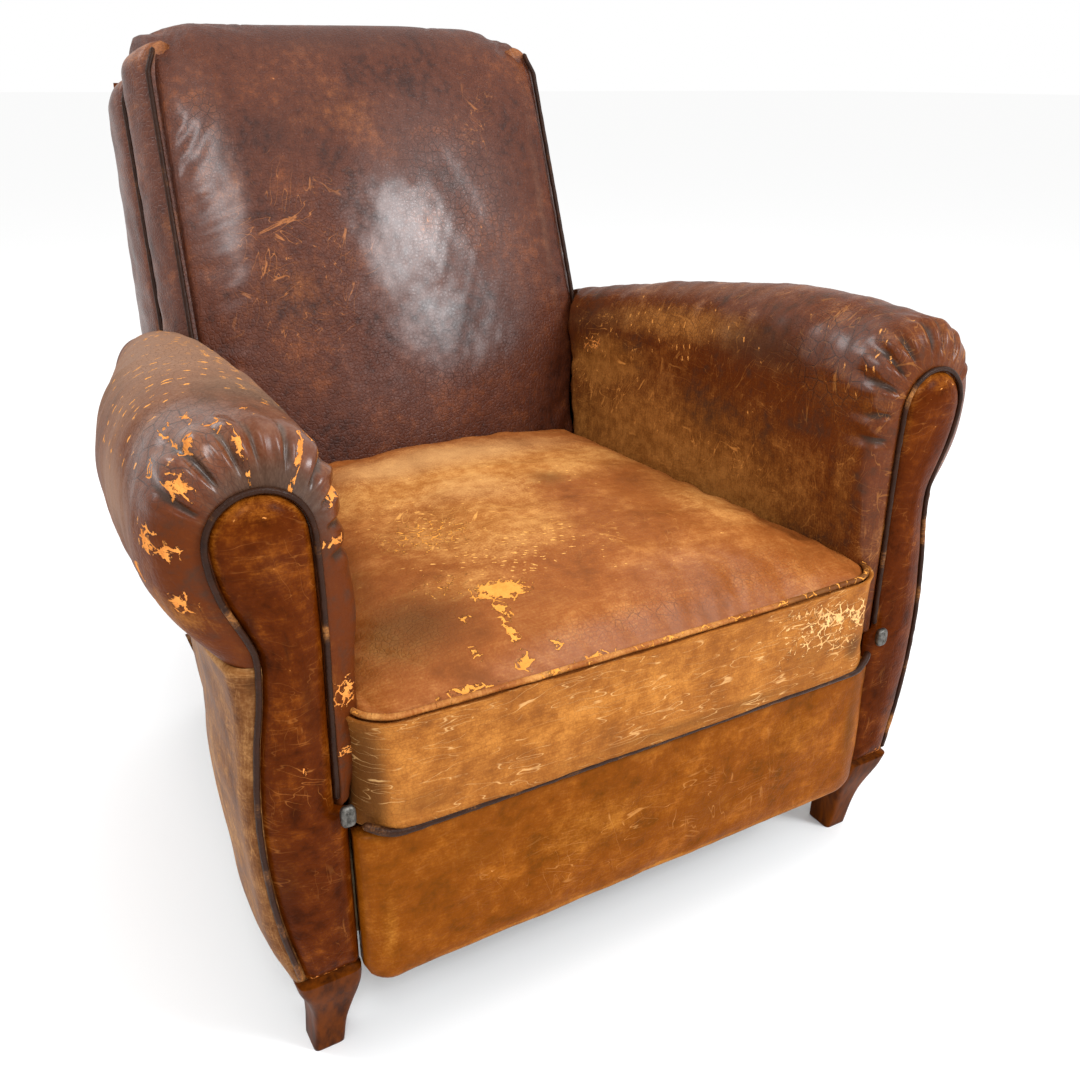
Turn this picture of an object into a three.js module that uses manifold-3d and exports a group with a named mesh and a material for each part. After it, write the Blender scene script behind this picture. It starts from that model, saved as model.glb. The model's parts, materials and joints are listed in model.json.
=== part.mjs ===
// A worn leather club chair, opened up on the bench: beech frame with legs, webbing and coil springs,
// stuffed pads, leather panels and piping. Millimetres, +Z up, the chair faces -Y, +X is the sitter's left.
// The origin is on the floor, under the middle of the whole chair.
//
// Depth is first measured as "d", from the front plane of the arm facings towards the back, because that
// is how the chair is laid out. One group at the end moves d = frameCentre to y = 0.

import * as THREE from "three";
import { mergeVertices } from "three/addons/utils/BufferGeometryUtils.js";
import Module from "manifold-3d";

const wasm = await Module();
wasm.setup();

// Driving dimensions of the whole chair
const frontOfSeat = -19; // the nose of the seat stands this far in front of the facings
const rearOfBack = 796; // the furthest point at the back, at the top edge of the outside panel
const outsideBackTop = 800;
const gap = 0.4; // clearance kept between pieces that touch
const legHeight = 112;
const railBottom = 126;
const railTop = 206;
const seatBandBottom = 262;
const seatTopEdge = 360;
const armSeam = 424; // where the roll leather ends and the outer panel begins, at the front
const armCrest = 605;
const cordRadius = 3.6; // dark piping cord
const frameCentre = (frontOfSeat - cordRadius + rearOfBack) / 2;

// Seat outline in plan: half widths at the front and at the rear
const seatHalfFront = 274;
const seatHalfRear = 222;
const seatRear = 472;
const seatCorner = 0.13; // share of the half width that the rounded front corners take

// Backrest: a raked plane through the piping that edges its front panel
const rake = THREE.MathUtils.degToRad(18.7);
const backFoot = { d: 515, z: 385 };
const backHalfTop = 252;
const backWidening = 0.032; // half width gained per millimetre downwards
const backTopH = 488;
const rearPlaneSlope = 0.197; // the outside back leans less than the inside
const sideTaper = 0.117; // the sides of the frame close in by this much for each millimetre of depth

const finishes = {
  rubbedLeather: { color: 0x8a4a1c, roughness: 0.5, metalness: 0 },
  darkLeather: { color: 0x4a2418, roughness: 0.4, metalness: 0 },
  tanLeather: { color: 0xa8682c, roughness: 0.6, metalness: 0 },
  piping: { color: 0x2a1810, roughness: 0.45, metalness: 0 },
  stainedLeg: { color: 0x5a300f, roughness: 0.35, metalness: 0 },
  beech: { color: 0xc49a6c, roughness: 0.7, metalness: 0 },
  jute: { color: 0xb08b57, roughness: 0.95, metalness: 0 },
  horsehair: { color: 0x3b2a20, roughness: 1, metalness: 0 },
  springSteel: { color: 0x6d6a66, roughness: 0.4, metalness: 1 },
  pewter: { color: 0x6f6c68, roughness: 0.45, metalness: 0.8 },
  blackCotton: { color: 0x1a1917, roughness: 1, metalness: 0 },
};
const materials = Object.fromEntries(
  Object.entries(finishes).map(([name, look]) => [name, new THREE.MeshStandardMaterial(look)]),
);

const chair = new THREE.Group();
chair.name = "club_chair";
const laidOut = new THREE.Group();
laidOut.position.y = -frameCentre;
chair.add(laidOut);

function place(name, geometry, finish, mirrored = false) {
  const mesh = new THREE.Mesh(geometry, materials[finish]);
  mesh.name = name;
  if (mirrored) mesh.scale.x = -1;
  laidOut.add(mesh);
}

// A right-hand piece and its mirror image. +X is the right-hand side as seen by someone facing the chair.
function placePair(name, geometry, finish) {
  place(name + "_right", geometry, finish);
  place(name + "_left", geometry, finish, true);
}

// ---------------------------------------------------------------- helpers

const { lerp, smoothstep, clamp } = THREE.MathUtils;
const v2 = (x, y) => new THREE.Vector2(x, y);
const v3 = (x, y, z) => new THREE.Vector3(x, y, z);

// A smooth value along a list of [station, value] pairs
function profile(stations) {
  return (at) => {
    const last = stations.length - 1;
    if (at <= stations[0][0]) return stations[0][1];
    if (at >= stations[last][0]) return stations[last][1];
    const i = stations.findIndex(([s]) => s > at) - 1;
    const [a, va] = stations[i];
    const [b, vb] = stations[i + 1];
    return lerp(va, vb, smoothstep(at, a, b) * 0.4 + ((at - a) / (b - a)) * 0.6);
  };
}

// Moves every vertex of a geometry by a function of its own place
function shaped(geometry, move) {
  const at = geometry.getAttribute("position");
  const point = new THREE.Vector3();
  for (let i = 0; i < at.count; i++) {
    point.fromBufferAttribute(at, i);
    const to = move(point.clone());
    at.setXYZ(i, to.x, to.y, to.z);
  }
  return geometry;
}

// An outline in the x-z plane carried along +Y from y0 to y1
function alongY(outline, y0, y1, steps = 1) {
  const geometry = new THREE.ExtrudeGeometry(new THREE.Shape(outline), {
    depth: y1 - y0,
    steps,
    bevelEnabled: false,
  });
  return geometry.rotateX(Math.PI / 2).translate(0, y1, 0);
}

// An outline in the y-z plane carried along +X from x0 to x1
function alongX(outline, x0, x1, steps = 1) {
  const geometry = new THREE.ExtrudeGeometry(new THREE.Shape(outline), {
    depth: x1 - x0,
    steps,
    bevelEnabled: false,
  });
  return geometry.rotateX(Math.PI / 2).rotateZ(Math.PI / 2).translate(x0, 0, 0);
}

// Turns the faces of a closed, indexed geometry outwards, by the sign of the volume that they enclose
function facingOut(geometry) {
  const at = geometry.getAttribute("position");
  const order = geometry.index.array;
  const [a, b, c] = [v3(), v3(), v3()];
  let volume = 0;
  for (let i = 0; i < order.length; i += 3) {
    a.fromBufferAttribute(at, order[i]);
    b.fromBufferAttribute(at, order[i + 1]);
    c.fromBufferAttribute(at, order[i + 2]);
    volume += a.dot(b.cross(c));
  }
  if (volume < 0) order.reverse();
  return geometry;
}

// A block of nx by ny by nz cells whose corners u, v, w in -1..1 are sent to places in the chair
function softBlock(nx, ny, nz, toPlace) {
  return facingOut(shaped(new THREE.BoxGeometry(2, 2, 2, nx, ny, nz), (p) => toPlace(p.x, p.y, p.z)));
}

// A round cord along a smooth line through the given points
function cord(points, radius, steps, sides = 6) {
  const path = new THREE.CatmullRomCurve3(points, false, "centripetal");
  const ring = new THREE.Shape();
  for (let i = 0; i < sides; i++) {
    const turn = (i / sides) * 2 * Math.PI;
    const corner = [radius * Math.cos(turn), radius * Math.sin(turn)];
    if (i === 0) ring.moveTo(...corner);
    else ring.lineTo(...corner);
  }
  return new THREE.ExtrudeGeometry(ring, { steps, extrudePath: path, bevelEnabled: false });
}

function box(x0, x1, y0, y1, z0, z1) {
  const geometry = new THREE.BoxGeometry(x1 - x0, y1 - y0, z1 - z0);
  return geometry.translate((x0 + x1) / 2, (y0 + y1) / 2, (z0 + z1) / 2);
}

function solidOf(geometry) {
  const bare = geometry.clone();
  bare.deleteAttribute("normal");
  bare.deleteAttribute("uv");
  const merged = mergeVertices(bare, 1e-3);
  return new wasm.Manifold(
    new wasm.Mesh({
      numProp: 3,
      vertProperties: merged.attributes.position.array,
      triVerts: new Uint32Array(merged.index.array),
    }),
  );
}

function geometryOf(solid) {
  const mesh = solid.getMesh();
  const made = new THREE.BufferGeometry();
  made.setAttribute("position", new THREE.BufferAttribute(mesh.vertProperties, 3));
  made.setIndex(new THREE.BufferAttribute(mesh.triVerts, 1));
  made.computeVertexNormals();
  return made;
}

const joined = (...geometries) => geometryOf(geometries.map(solidOf).reduce((a, b) => a.add(b)));
const cut = (geometry, tool) => geometryOf(solidOf(geometry).subtract(solidOf(tool)));

// ---------------------------------------------------------------- shared shapes

// d of the outside back at height z
const rearPlane = (z) => rearOfBack - rearPlaneSlope * (outsideBackTop - z);

// A point of the raked back: n goes rearwards from the piping plane, h goes up along it
function backPoint(x, n, h) {
  const d = backFoot.d + h * Math.sin(rake) + n * Math.cos(rake);
  const z = backFoot.z + h * Math.cos(rake) - n * Math.sin(rake);
  return v3(x, d, z);
}
const backHalf = (h) => backHalfTop + backWidening * (backTopH - h);

// The arm, seen from above: its inner and outer faces, and the height of its crest, along the depth
const armInner = profile([[0, 265], [130, 262], [280, 256], [400, 248], [500, 241], [600, 234], [730, 226]]);
const armOuter = profile([
  [0, 392], [50, 403], [120, 406], [200, 403], [240, 399], [300, 386], [365, 370], [420, 358], [500, 345],
  [600, 330], [730, 312],
]);
const armTop = profile([[0, 597], [130, 604], [200, 602], [283, 593], [375, 580], [479, 559], [600, 530], [730, 494]]);
const panelInset = profile([[0, 0], [100, 1], [200, 15], [300, 31], [400, 45], [500, 58], [600, 70], [730, 84]]);
const rollCentreX = 334;
const rollHalf = 71;
const armFoot = 262; // below this height the arm's section isn't scaled
const innerEdgeX = 312; // section points nearer the seat than this belong to the inner face
const innerLean = -30; // how far the foot of the inner face comes in under the roll, at the rear

// Sends a point (x, z) of the arm's front section, at depth d, to its place
function armPoint(x, d, z) {
  const inner = armInner(d);
  const outer = armOuter(d);
  const scale = (outer - inner) / (2 * rollHalf);
  const lean = innerLean * clamp(d / 500, 0, 1) * clamp((500 - z) / 120, 0, 1);
  const rollX = (inner + outer) / 2 + (x - rollCentreX) * scale;
  const panelX = x - panelInset(d);
  const high = x < innerEdgeX ? 1 : smoothstep(z, 300, 470);
  const rise = (armTop(d) - armFoot) / (armCrest - armFoot);
  const placeX = lerp(panelX, rollX, high) + (x < innerEdgeX ? lean : 0);
  return v3(placeX, d, z > armFoot ? armFoot + (z - armFoot) * rise : z);
}

// Arm pieces are first extruded over d from 0 to armLength, then stretched to end on the outside back
const armLength = 700;
const panelThick = 4; // leather over card, on the outside of the arms and the back
function armMove(p) {
  const placed = armPoint(p.x, p.y, p.z);
  const reach = (rearPlane(placed.z) - panelThick - 1) / armLength;
  placed.y *= lerp(1, reach, smoothstep(p.y, 300, armLength));
  return placed;
}

// ---------------------------------------------------------------- frame

// Front post: arm stump and sabre leg in one piece
const legOuter = profile([[0, 327], [35, 326], [60, 328], [80, 333], [100, 340], [legHeight, 342]]);
const legInner = profile([[0, 298], [35, 297.5], [60, 294], [80, 289], [100, 284.5], [legHeight, 283]]);
const legFront = profile([[0, 28], [60, 15], [legHeight, 2]]);
const legRear = profile([[0, 60], [60, 58], [legHeight, 62]]);

function frontPost() {
  const leg = softBlock(1, 1, 8, (u, v, w) => {
    const z = ((w + 1) / 2) * legHeight;
    return v3(
      lerp(legInner(z), legOuter(z), (u + 1) / 2),
      lerp(legFront(z), legRear(z), (v + 1) / 2),
      z,
    );
  });
  const stump = alongY(
    [v2(290, 100), v2(331, 100), v2(337, 200), v2(338, 300), v2(334, 420), v2(338, 503), v2(304, 503),
      v2(302, 262), v2(291, 230)],
    16,
    64,
  );
  return joined(leg, stump);
}

// Rear post: raked upright and leg in one piece, splayed outwards towards the floor
const rearPostHalf = 18;
const rearPostTop = 815;
const rearPostX = (z) => 218 + (rearPostTop - z) * 0.03;
function rearPost() {
  const outline = [
    v2(718, rearPostTop), v2(566, 400), v2(578, 300), v2(592, 205), v2(592, legHeight), v2(638, 0),
    v2(672, 0), v2(652, legHeight), v2(648, 205), v2(632, 300), v2(618, 400), v2(750, 805),
  ];
  const post = alongX(outline, -rearPostHalf, rearPostHalf, 1);
  return shaped(post, (p) => v3(p.x + rearPostX(p.z), p.y, p.z));
}

function sideRail() {
  return shaped(box(303, 328, 65, 590, railBottom, railTop), (p) => v3(p.x - sideTaper * (p.y - 65), p.y, p.z));
}

function armRail() {
  const board = alongY([v2(308, 512), v2(360, 512), v2(360, 534), v2(308, 534)], 18, 672, 8);
  return shaped(board, (p) => {
    const half = lerp(26, 15, smoothstep(p.y, 300, 672));
    const centre = (armInner(p.y) + armOuter(p.y)) / 2 + lerp(0, 6, smoothstep(p.y, 450, 672));
    const drop = armCrest - armTop(p.y);
    return v3(centre + Math.sign(p.x - rollCentreX) * half, p.y, p.z - drop * 0.75);
  });
}

function armStayRail() {
  return shaped(box(309, 329, 66, 571, 300, 340), (p) => v3(p.x - sideTaper * (p.y - 66), p.y, p.z));
}

function frontCornerBlock() {
  return alongZ([v2(225, 50.5), v2(289.4, 50.5), v2(289.4, 64.5), v2(302.4, 64.5), v2(295.3, 125)], 140, 190);
}

function rearCornerBlock() {
  return alongZ([v2(217, 546), v2(158, 605.5), v2(217, 605.5)].reverse(), 140, 190);
}

// An outline in the x-y plane carried up from z0 to z1
function alongZ(outline, z0, z1) {
  const shape = new THREE.Shape(outline);
  return new THREE.ExtrudeGeometry(shape, { depth: z1 - z0, bevelEnabled: false }).translate(0, 0, z0);
}

placePair("front_post", frontPost(), "stainedLeg");
placePair("rear_post", rearPost(), "stainedLeg");
placePair("side_rail", sideRail(), "beech");
placePair("arm_rail", armRail(), "beech");
placePair("arm_stay_rail", armStayRail(), "beech");
place("front_rail", box(-289.5, 289.5, 24, 50, railBottom, railTop), "beech");
place("back_rail", box(-217, 217, 606, 634, railBottom, railTop), "beech");
placePair("front_corner_block", frontCornerBlock(), "beech");
placePair("rear_corner_block", rearCornerBlock(), "beech");

// A rail between the rear posts, raked with the back
function backCrossRail(half, nFront, nRear, hLow, hHigh) {
  return softBlock(1, 1, 1, (u, v, w) =>
    backPoint(u * half, lerp(nFront, nRear, (v + 1) / 2), lerp(hLow, hHigh, (w + 1) / 2)),
  );
}
place("back_top_rail", backCrossRail(199, 54.5, 82, 425, 476), "beech");
place("back_stay_rail", backCrossRail(212, 45, 68, -15, 25), "beech");

// Straps tacked across the front of the rear posts, and from the stay rail up to the top rail
const strapHalf = 25;
const strapThick = 2.4;
function backWebbing() {
  const strap = (x0, x1, h0, h1, forward) =>
    softBlock(1, 1, 1, (u, v, w) => {
      const h = lerp(h0, h1, (v + 1) / 2);
      const behind = 42.4 + 10.5 * (h / 455) - forward;
      return backPoint(lerp(x0, x1, (u + 1) / 2), behind - (w < 0 ? strapThick : 0), h);
    });
  const across = [90, 180, 270, 360].map((h) => strap(-225, 225, h - strapHalf, h + strapHalf, 0));
  const up = [-110, 0, 110].map((x) => strap(x - strapHalf, x + strapHalf, -12, 470, 1));
  return joined(...across, ...up);
}
place("back_webbing", backWebbing(), "jute");

// ---------------------------------------------------------------- seat suspension

// Straps of jute crossing under the rails
function seatWebbing() {
  const strapTop = railBottom - gap;
  const straps = [];
  for (let i = -2; i <= 2; i++) {
    const x = i * 92;
    straps.push(box(x - strapHalf, x + strapHalf, 28, 632, strapTop - strapThick, strapTop));
    const y = 325 + i * 96;
    const half = 322 - sideTaper * (y - 65);
    straps.push(box(-half, half, y - strapHalf, y + strapHalf, strapTop - strapThick - 1, strapTop - 1));
  }
  return joined(...straps);
}
place("seat_webbing", seatWebbing(), "jute");

// Double-cone coil spring standing on the webbing
class SpringLine extends THREE.Curve {
  getPoint(t, target = new THREE.Vector3()) {
    const turns = 4.5;
    const wire = 2.1;
    const floor = railBottom + wire;
    const radius = lerp(29, 44, Math.abs(2 * t - 1) ** 1.4);
    const turn = t * turns * 2 * Math.PI;
    const rise = smoothstep(t, 0.06, 0.94) * 0.5 + clamp((t - 0.06) / 0.88, 0, 1) * 0.5;
    return target.set(radius * Math.cos(turn), radius * Math.sin(turn), lerp(floor, 283, rise));
  }
}

function spring(x, y) {
  const section = new THREE.Shape([v2(1.7, 0), v2(0, 1.7), v2(-1.7, 0), v2(0, -1.7)]);
  const wound = { steps: 34, extrudePath: new SpringLine(), bevelEnabled: false };
  const coil = new THREE.ExtrudeGeometry(section, wound);
  return coil.translate(x, y, 0);
}
[120, 255, 390].forEach((y, row) => {
  [-140, 0, 140].forEach((x, column) => {
    place(`seat_spring_${row + 1}_${column + 1}`, spring(x, y), "springSteel");
  });
});

// ---------------------------------------------------------------- seat

// Plan of the seat: u across, v from the rear (-1) to the front (+1), with rounded front corners
function seatPlan(u, v, inset = 0) {
  const t = (v + 1) / 2;
  const half = lerp(seatHalfRear, seatHalfFront, t ** 0.9) - inset;
  const nose = frontOfSeat + 5 + inset;
  const round = Math.max(0, Math.abs(u) - (1 - seatCorner)) / seatCorner;
  const roundBack = Math.max(0, t - 0.9) / 0.1;
  const pull = 1 - Math.sqrt(1 - Math.min(1, round) ** 2 * 0.96);
  const bow = 5 * (1 - u * u) * roundBack;
  return { x: u * half, d: lerp(seatRear, nose, t) + 34 * pull * roundBack - bow };
}

// Height of the crowned top over its edge
function seatCrown(u, v) {
  const sides = Math.sqrt(1 - Math.abs(u) ** 8);
  const forward = ((1 - v) / 2) * (seatRear - frontOfSeat); // distance back from the nose
  return 4 + 26 * (1 - Math.exp(-forward / 48)) * sides + 12 * (1 - u * u) * smoothstep(forward, 0, 180);
}

function seatStuffing() {
  return softBlock(10, 10, 1, (u, v, w) => {
    const { x, d } = seatPlan(u, v, 9);
    return v3(x, d, w < 0 ? 292 : seatTopEdge - 17 + seatCrown(u, v));
  });
}

function seatTopLeather() {
  return softBlock(10, 10, 1, (u, v, w) => {
    const { x, d } = seatPlan(u, v, 8);
    return v3(x, d, seatTopEdge - 9 + seatCrown(u, v) + (w < 0 ? gap : 3.4));
  });
}

// The line that the seat's border and its cords follow, from the rear right round the front to the rear left
function seatBorder(out, z, steps = 14) {
  const line = [];
  const add = (u, v) => {
    const { x, d } = seatPlan(u, v);
    const length = Math.hypot(x / seatHalfFront, Math.max(0, 30 - d) / 40) || 1;
    const sideways = Math.abs(u) > 0.99 ? 1 : x / seatHalfFront / length;
    const forward = Math.abs(u) > 0.99 && v < 0.9 ? 0 : 1;
    line.push(v3(x + out * Math.sign(x) * Math.abs(sideways), d - out * forward, z));
  };
  for (let i = 0; i <= steps; i++) add(1, lerp(-1, 0.98, i / steps));
  for (const u of [0.995, 0.98, 0.95, 0.91, 0.87, 0.8, 0.5, 0.2]) add(u, 1);
  const right = line.slice();
  const left = right.map((p) => v3(-p.x, p.y, p.z)).reverse();
  return right.concat(left);
}

function seatBand() {
  const outer = seatBorder(0, 0, 4);
  const inner = seatBorder(-3, 0, 4).reverse();
  const outline = outer.concat(inner).map((p) => v2(p.x, p.y));
  return alongZ(outline, seatBandBottom + 5, seatTopEdge - 4.5);
}

place("seat_hessian", alongZ(
  [v2(-200, 456), v2(200, 456), v2(246, 30), v2(-246, 30)].reverse(), 286, 288), "jute");
place("seat_stuffing", seatStuffing(), "horsehair");
place("seat_top_leather", seatTopLeather(), "tanLeather");
place("seat_band", seatBand(), "tanLeather");
place("seat_top_piping", cord(seatBorder(-1, seatTopEdge - 0.4, 6), cordRadius, 44), "piping");
place("seat_lower_welt", cord(seatBorder(-1, seatBandBottom - 1, 6), cordRadius, 44), "piping");

// ---------------------------------------------------------------- front apron

const apronHalf = 278;
const apronBottom = 92;
function frontApron() {
  return softBlock(14, 1, 6, (u, v, w) => {
    const z = lerp(apronBottom, 249, (w + 1) / 2);
    const side = Math.max(0, Math.abs(u) - 0.88) / 0.12;
    const low = Math.max(0, -w - 0.72) / 0.28;
    const lift = 20 * (1 - Math.sqrt(1 - side ** 2 * 0.98)) * low;
    const belly = 3 * (1 - w * w) * (1 - u * u);
    const front = frontOfSeat + 6 + 7 * side ** 2 + 3 * low ** 2 - belly;
    return v3(u * apronHalf, v < 0 ? front : lerp(front, 20, (v + 1) / 2), z + lift);
  });
}
place("front_apron", frontApron(), "rubbedLeather");

function apronWelt() {
  const line = [];
  for (let u = -1; u <= 1.001; u += 0.125) {
    const side = Math.max(0, Math.abs(u) - 0.88) / 0.12;
    line.push(v3(u * apronHalf, frontOfSeat + 5.5 + 9 * side ** 2, 253.6 + 5 * side ** 2));
  }
  return cord(line, cordRadius, 40);
}
place("apron_welt", apronWelt(), "piping");

// ---------------------------------------------------------------- arms

// Centreline of the piping round the arm facing, from the stud beside the seat, up and over the round
// head, in at the waist and down to the leg
const headCentre = v2(329.5, 518);
const headRadius = 38;
const studHeight = 283;
const outerCurve = [
  v2(366.5, 505), v2(361, 480), v2(351, 456), v2(343, 434), v2(343, 405), v2(350, 355),
  v2(355, 300), v2(355, 250), v2(350, 190), v2(337, 118),
];
function facingLine() {
  const inner = [v2(293, studHeight + 5), v2(291.5, 370), v2(290, 440), v2(290.5, 500)];
  const head = [];
  for (let turn = 168; turn >= 0; turn -= 21) {
    const angle = THREE.MathUtils.degToRad(turn);
    head.push(v2(headCentre.x + headRadius * Math.cos(angle), headCentre.y + headRadius * Math.sin(angle)));
  }
  return inner.concat(head, outerCurve);
}

// The facing's own edge: the piping line moved inwards, closed along the leg and the apron
function facingOutline(inset) {
  const curve = new THREE.SplineCurve(facingLine());
  const edge = [];
  const count = 46;
  for (let i = 0; i <= count; i++) {
    const p = curve.getPoint(i / count);
    const along = curve.getTangent(i / count);
    edge.push(v2(p.x + along.y * inset, p.y - along.x * inset));
  }
  return edge.concat([v2(285, legHeight + 4), v2(285, studHeight - 8), v2(290 + inset, studHeight - 6)]);
}

function armPad() {
  const outer = new THREE.SplineCurve([
    v2(277, 400), v2(264, 480), v2(264, 545), v2(285, 588), v2(333, 605), v2(374, 593),
    v2(399, 560), v2(405, 518), v2(398, 476), v2(367, armSeam + 1),
  ]).getPoints(20);
  const inner = new THREE.SplineCurve([
    v2(346, armSeam + 6), v2(368, 486), v2(374, 530), v2(358, 564), v2(333, 572), v2(306, 560), v2(299, 520),
  ]).getPoints(10);
  const outline = [v2(277, seatBandBottom), ...outer, ...inner, v2(299, 400), v2(299, seatBandBottom)];
  const pad = shaped(alongY(outline.reverse(), 8, armLength, 10), armMove);
  const backBlock = softBlock(1, 1, 1, (u, v, w) => {
    const h = lerp(-260, 620, (w + 1) / 2);
    return backPoint(u * (backHalf(h) + 26), lerp(-9, 400, (v + 1) / 2), h);
  });
  return cut(pad, backBlock);
}

function outerArmPanel() {
  const face = new THREE.SplineCurve([
    v2(366, armSeam - 1), v2(363, 380), v2(365, 300), v2(363, 220), v2(356, 150), v2(344, legHeight + 3),
  ]).getPoints(8);
  const inside = face.map((p) => v2(p.x - panelThick, p.y)).reverse();
  return shaped(alongY([...face, ...inside], 9, armLength, 8), armMove);
}

function facingPiping() {
  const curve = new THREE.SplineCurve(facingLine());
  return cord(curve.getPoints(30).map((p) => v3(p.x, 2.5, p.y)), cordRadius, 50);
}

placePair("arm_pad", armPad(), "darkLeather");
placePair("outer_arm_panel", outerArmPanel(), "rubbedLeather");
placePair("arm_facing", alongY(facingOutline(cordRadius + gap), -6, 7), "rubbedLeather");
placePair("facing_piping", facingPiping(), "piping");
const stud = new THREE.SphereGeometry(8, 12, 6).scale(1, 0.55, 1).translate(290, -11.5, studHeight - 2);
placePair("piping_stud", stud, "pewter");

// ---------------------------------------------------------------- back

// Section of the back's padding: up the front, over the top rail and down behind it, as (n, h)
const backOutside = new THREE.SplineCurve([
  v2(2, -92), v2(2, 120), v2(2, 330), v2(4, 440), v2(12, 486), v2(34, 515), v2(66, 526), v2(98, 520),
  v2(116, 500), v2(120, 470),
]);

function backPad() {
  return softBlock(10, 15, 1, (u, v, w) => {
    const t = (v + 1) / 2;
    const p = backOutside.getPoint(t);
    const along = backOutside.getTangent(t);
    const thick = lerp(34, 16, smoothstep(t, 0.5, 0.72));
    const crown = 26 * (1 - u * u) * smoothstep(p.y, -160, 120) * (1 - smoothstep(p.y, 300, 520));
    const into = w < 0 ? -crown : thick;
    const shoulder = 18 * smoothstep(Math.abs(u), 0.7, 1) * smoothstep(p.y, 380, 520);
    const tucked = 32 * (1 - smoothstep(p.y, 0, 130)); // narrower where it goes down between the arms
    return backPoint(u * (backHalf(p.y) - 5 - tucked), p.x + along.y * into, p.y - along.x * into - shoulder);
  });
}
place("back_pad", backPad(), "darkLeather");

// Two padded rolls run up each side of the back, with piping in front of each
const rollSplit = 64;
function sideRoll(nFront, nRear, topH) {
  return softBlock(4, 14, 1, (u, v, w) => {
    const t = (v + 1) / 2;
    const h = lerp(128, topH, t);
    const across = (u + 1) / 2;
    const flat = backPoint(0, 0, h);
    const rearN = nRear ?? (rearPlane(flat.z) - 5 - flat.y) / (Math.cos(rake) + rearPlaneSlope * Math.sin(rake));
    const bulge = 10 * Math.sqrt(Math.max(0, 1 - u * u));
    const outer = backHalf(h) + 1 + bulge + (nRear ? 5 * across : 6);
    const topRound = 8 * (1 - u * u) * smoothstep(t, 0.9, 1);
    return backPoint(w < 0 ? backHalf(h) - 4 : outer, lerp(nFront, rearN, across), h + topRound);
  });
}
placePair("side_roll_front", sideRoll(11, rollSplit - 5, 482), "rubbedLeather");
placePair("side_roll_rear", sideRoll(rollSplit + 5, null, 482), "darkLeather");

function backCord(n, out) {
  const line = [130, 220, 310, 400, 450, 480].map((h) => backPoint(backHalf(h) + out, n, h));
  return cord(line, cordRadius, 24);
}
placePair("back_piping_front", backCord(5, 3), "piping");
placePair("back_piping_rear", backCord(rollSplit, 4), "piping");

function outsideBack() {
  return softBlock(6, 1, 10, (u, v, w) => {
    const z = lerp(legHeight + 2, outsideBackTop, (w + 1) / 2);
    const half = lerp(277, 262, smoothstep(z, 430, 540));
    return v3(u * half, rearPlane(z) - (v < 0 ? panelThick : 0), z);
  });
}
place("outside_back", outsideBack(), "rubbedLeather");

const bottomHalf = [v2(282, 30), v2(282, 65), v2(320, 65), v2(258, 588), v2(216, 588), v2(216, 630)];
const bottomOutline = bottomHalf.concat(bottomHalf.map((p) => v2(-p.x, p.y)).reverse());
place("bottom_cloth", alongZ(bottomOutline, railBottom - 8, railBottom - 6.5), "blackCotton");

export default chair;
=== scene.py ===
import json
import math

import bmesh
import bpy
import numpy as np
from mathutils import Matrix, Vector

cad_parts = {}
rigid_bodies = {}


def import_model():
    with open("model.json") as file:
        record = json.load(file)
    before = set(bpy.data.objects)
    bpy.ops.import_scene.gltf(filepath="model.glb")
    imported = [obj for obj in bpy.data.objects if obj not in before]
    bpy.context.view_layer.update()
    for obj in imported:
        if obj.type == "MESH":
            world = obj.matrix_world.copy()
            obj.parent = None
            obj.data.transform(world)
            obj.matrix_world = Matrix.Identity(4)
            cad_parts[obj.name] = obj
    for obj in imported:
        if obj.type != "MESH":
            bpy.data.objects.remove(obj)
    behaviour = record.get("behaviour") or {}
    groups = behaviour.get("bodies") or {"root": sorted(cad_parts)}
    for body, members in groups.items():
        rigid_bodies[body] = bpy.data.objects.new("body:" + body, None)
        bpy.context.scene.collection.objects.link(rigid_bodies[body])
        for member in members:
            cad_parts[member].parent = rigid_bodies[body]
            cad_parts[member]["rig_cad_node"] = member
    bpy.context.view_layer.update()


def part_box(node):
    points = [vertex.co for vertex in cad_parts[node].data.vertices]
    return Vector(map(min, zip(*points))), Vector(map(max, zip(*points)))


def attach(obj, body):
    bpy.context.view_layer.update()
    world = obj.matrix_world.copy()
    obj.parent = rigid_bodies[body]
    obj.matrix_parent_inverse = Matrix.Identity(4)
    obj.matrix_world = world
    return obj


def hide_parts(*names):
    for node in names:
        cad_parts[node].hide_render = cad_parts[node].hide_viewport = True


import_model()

mm = 0.001

# ---- where things are. x counts from the chair's middle, depth from the plane of the arm facings towards
# the back, z from the floor, all in millimetres until they go into a mesh

cordLow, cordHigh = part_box("facing_piping_right")
depthZero = (cordLow.y + cordHigh.y) / 2 / mm - 2.5


def toMetres(x, depth, z):
    return np.stack(np.broadcast_arrays(x, np.asarray(depth) + depthZero, z), axis=-1).astype(float) * mm


def smoothstep(x, low, high):
    t = np.clip((np.asarray(x, float) - low) / (high - low), 0, 1)
    return t * t * (3 - 2 * t)


def mix(a, b, t):
    return a + (b - a) * t


def valueAlong(stations, at):  # cubic through [place, value] pairs, slopes from the neighbours
    s = np.array(stations, float)
    slope = np.gradient(s[:, 1], s[:, 0])
    at = np.clip(np.asarray(at, float), s[0, 0], s[-1, 0])
    i = np.clip(np.searchsorted(s[:, 0], at) - 1, 0, len(s) - 2)
    gap = s[i + 1, 0] - s[i, 0]
    t = (at - s[i, 0]) / gap
    return (
        s[i, 1] * (1 + 2 * t) * (1 - t) ** 2
        + s[i + 1, 1] * t * t * (3 - 2 * t)
        + gap * slope[i] * t * (1 - t) ** 2
        + gap * slope[i + 1] * t * t * (t - 1)
    )


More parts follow.
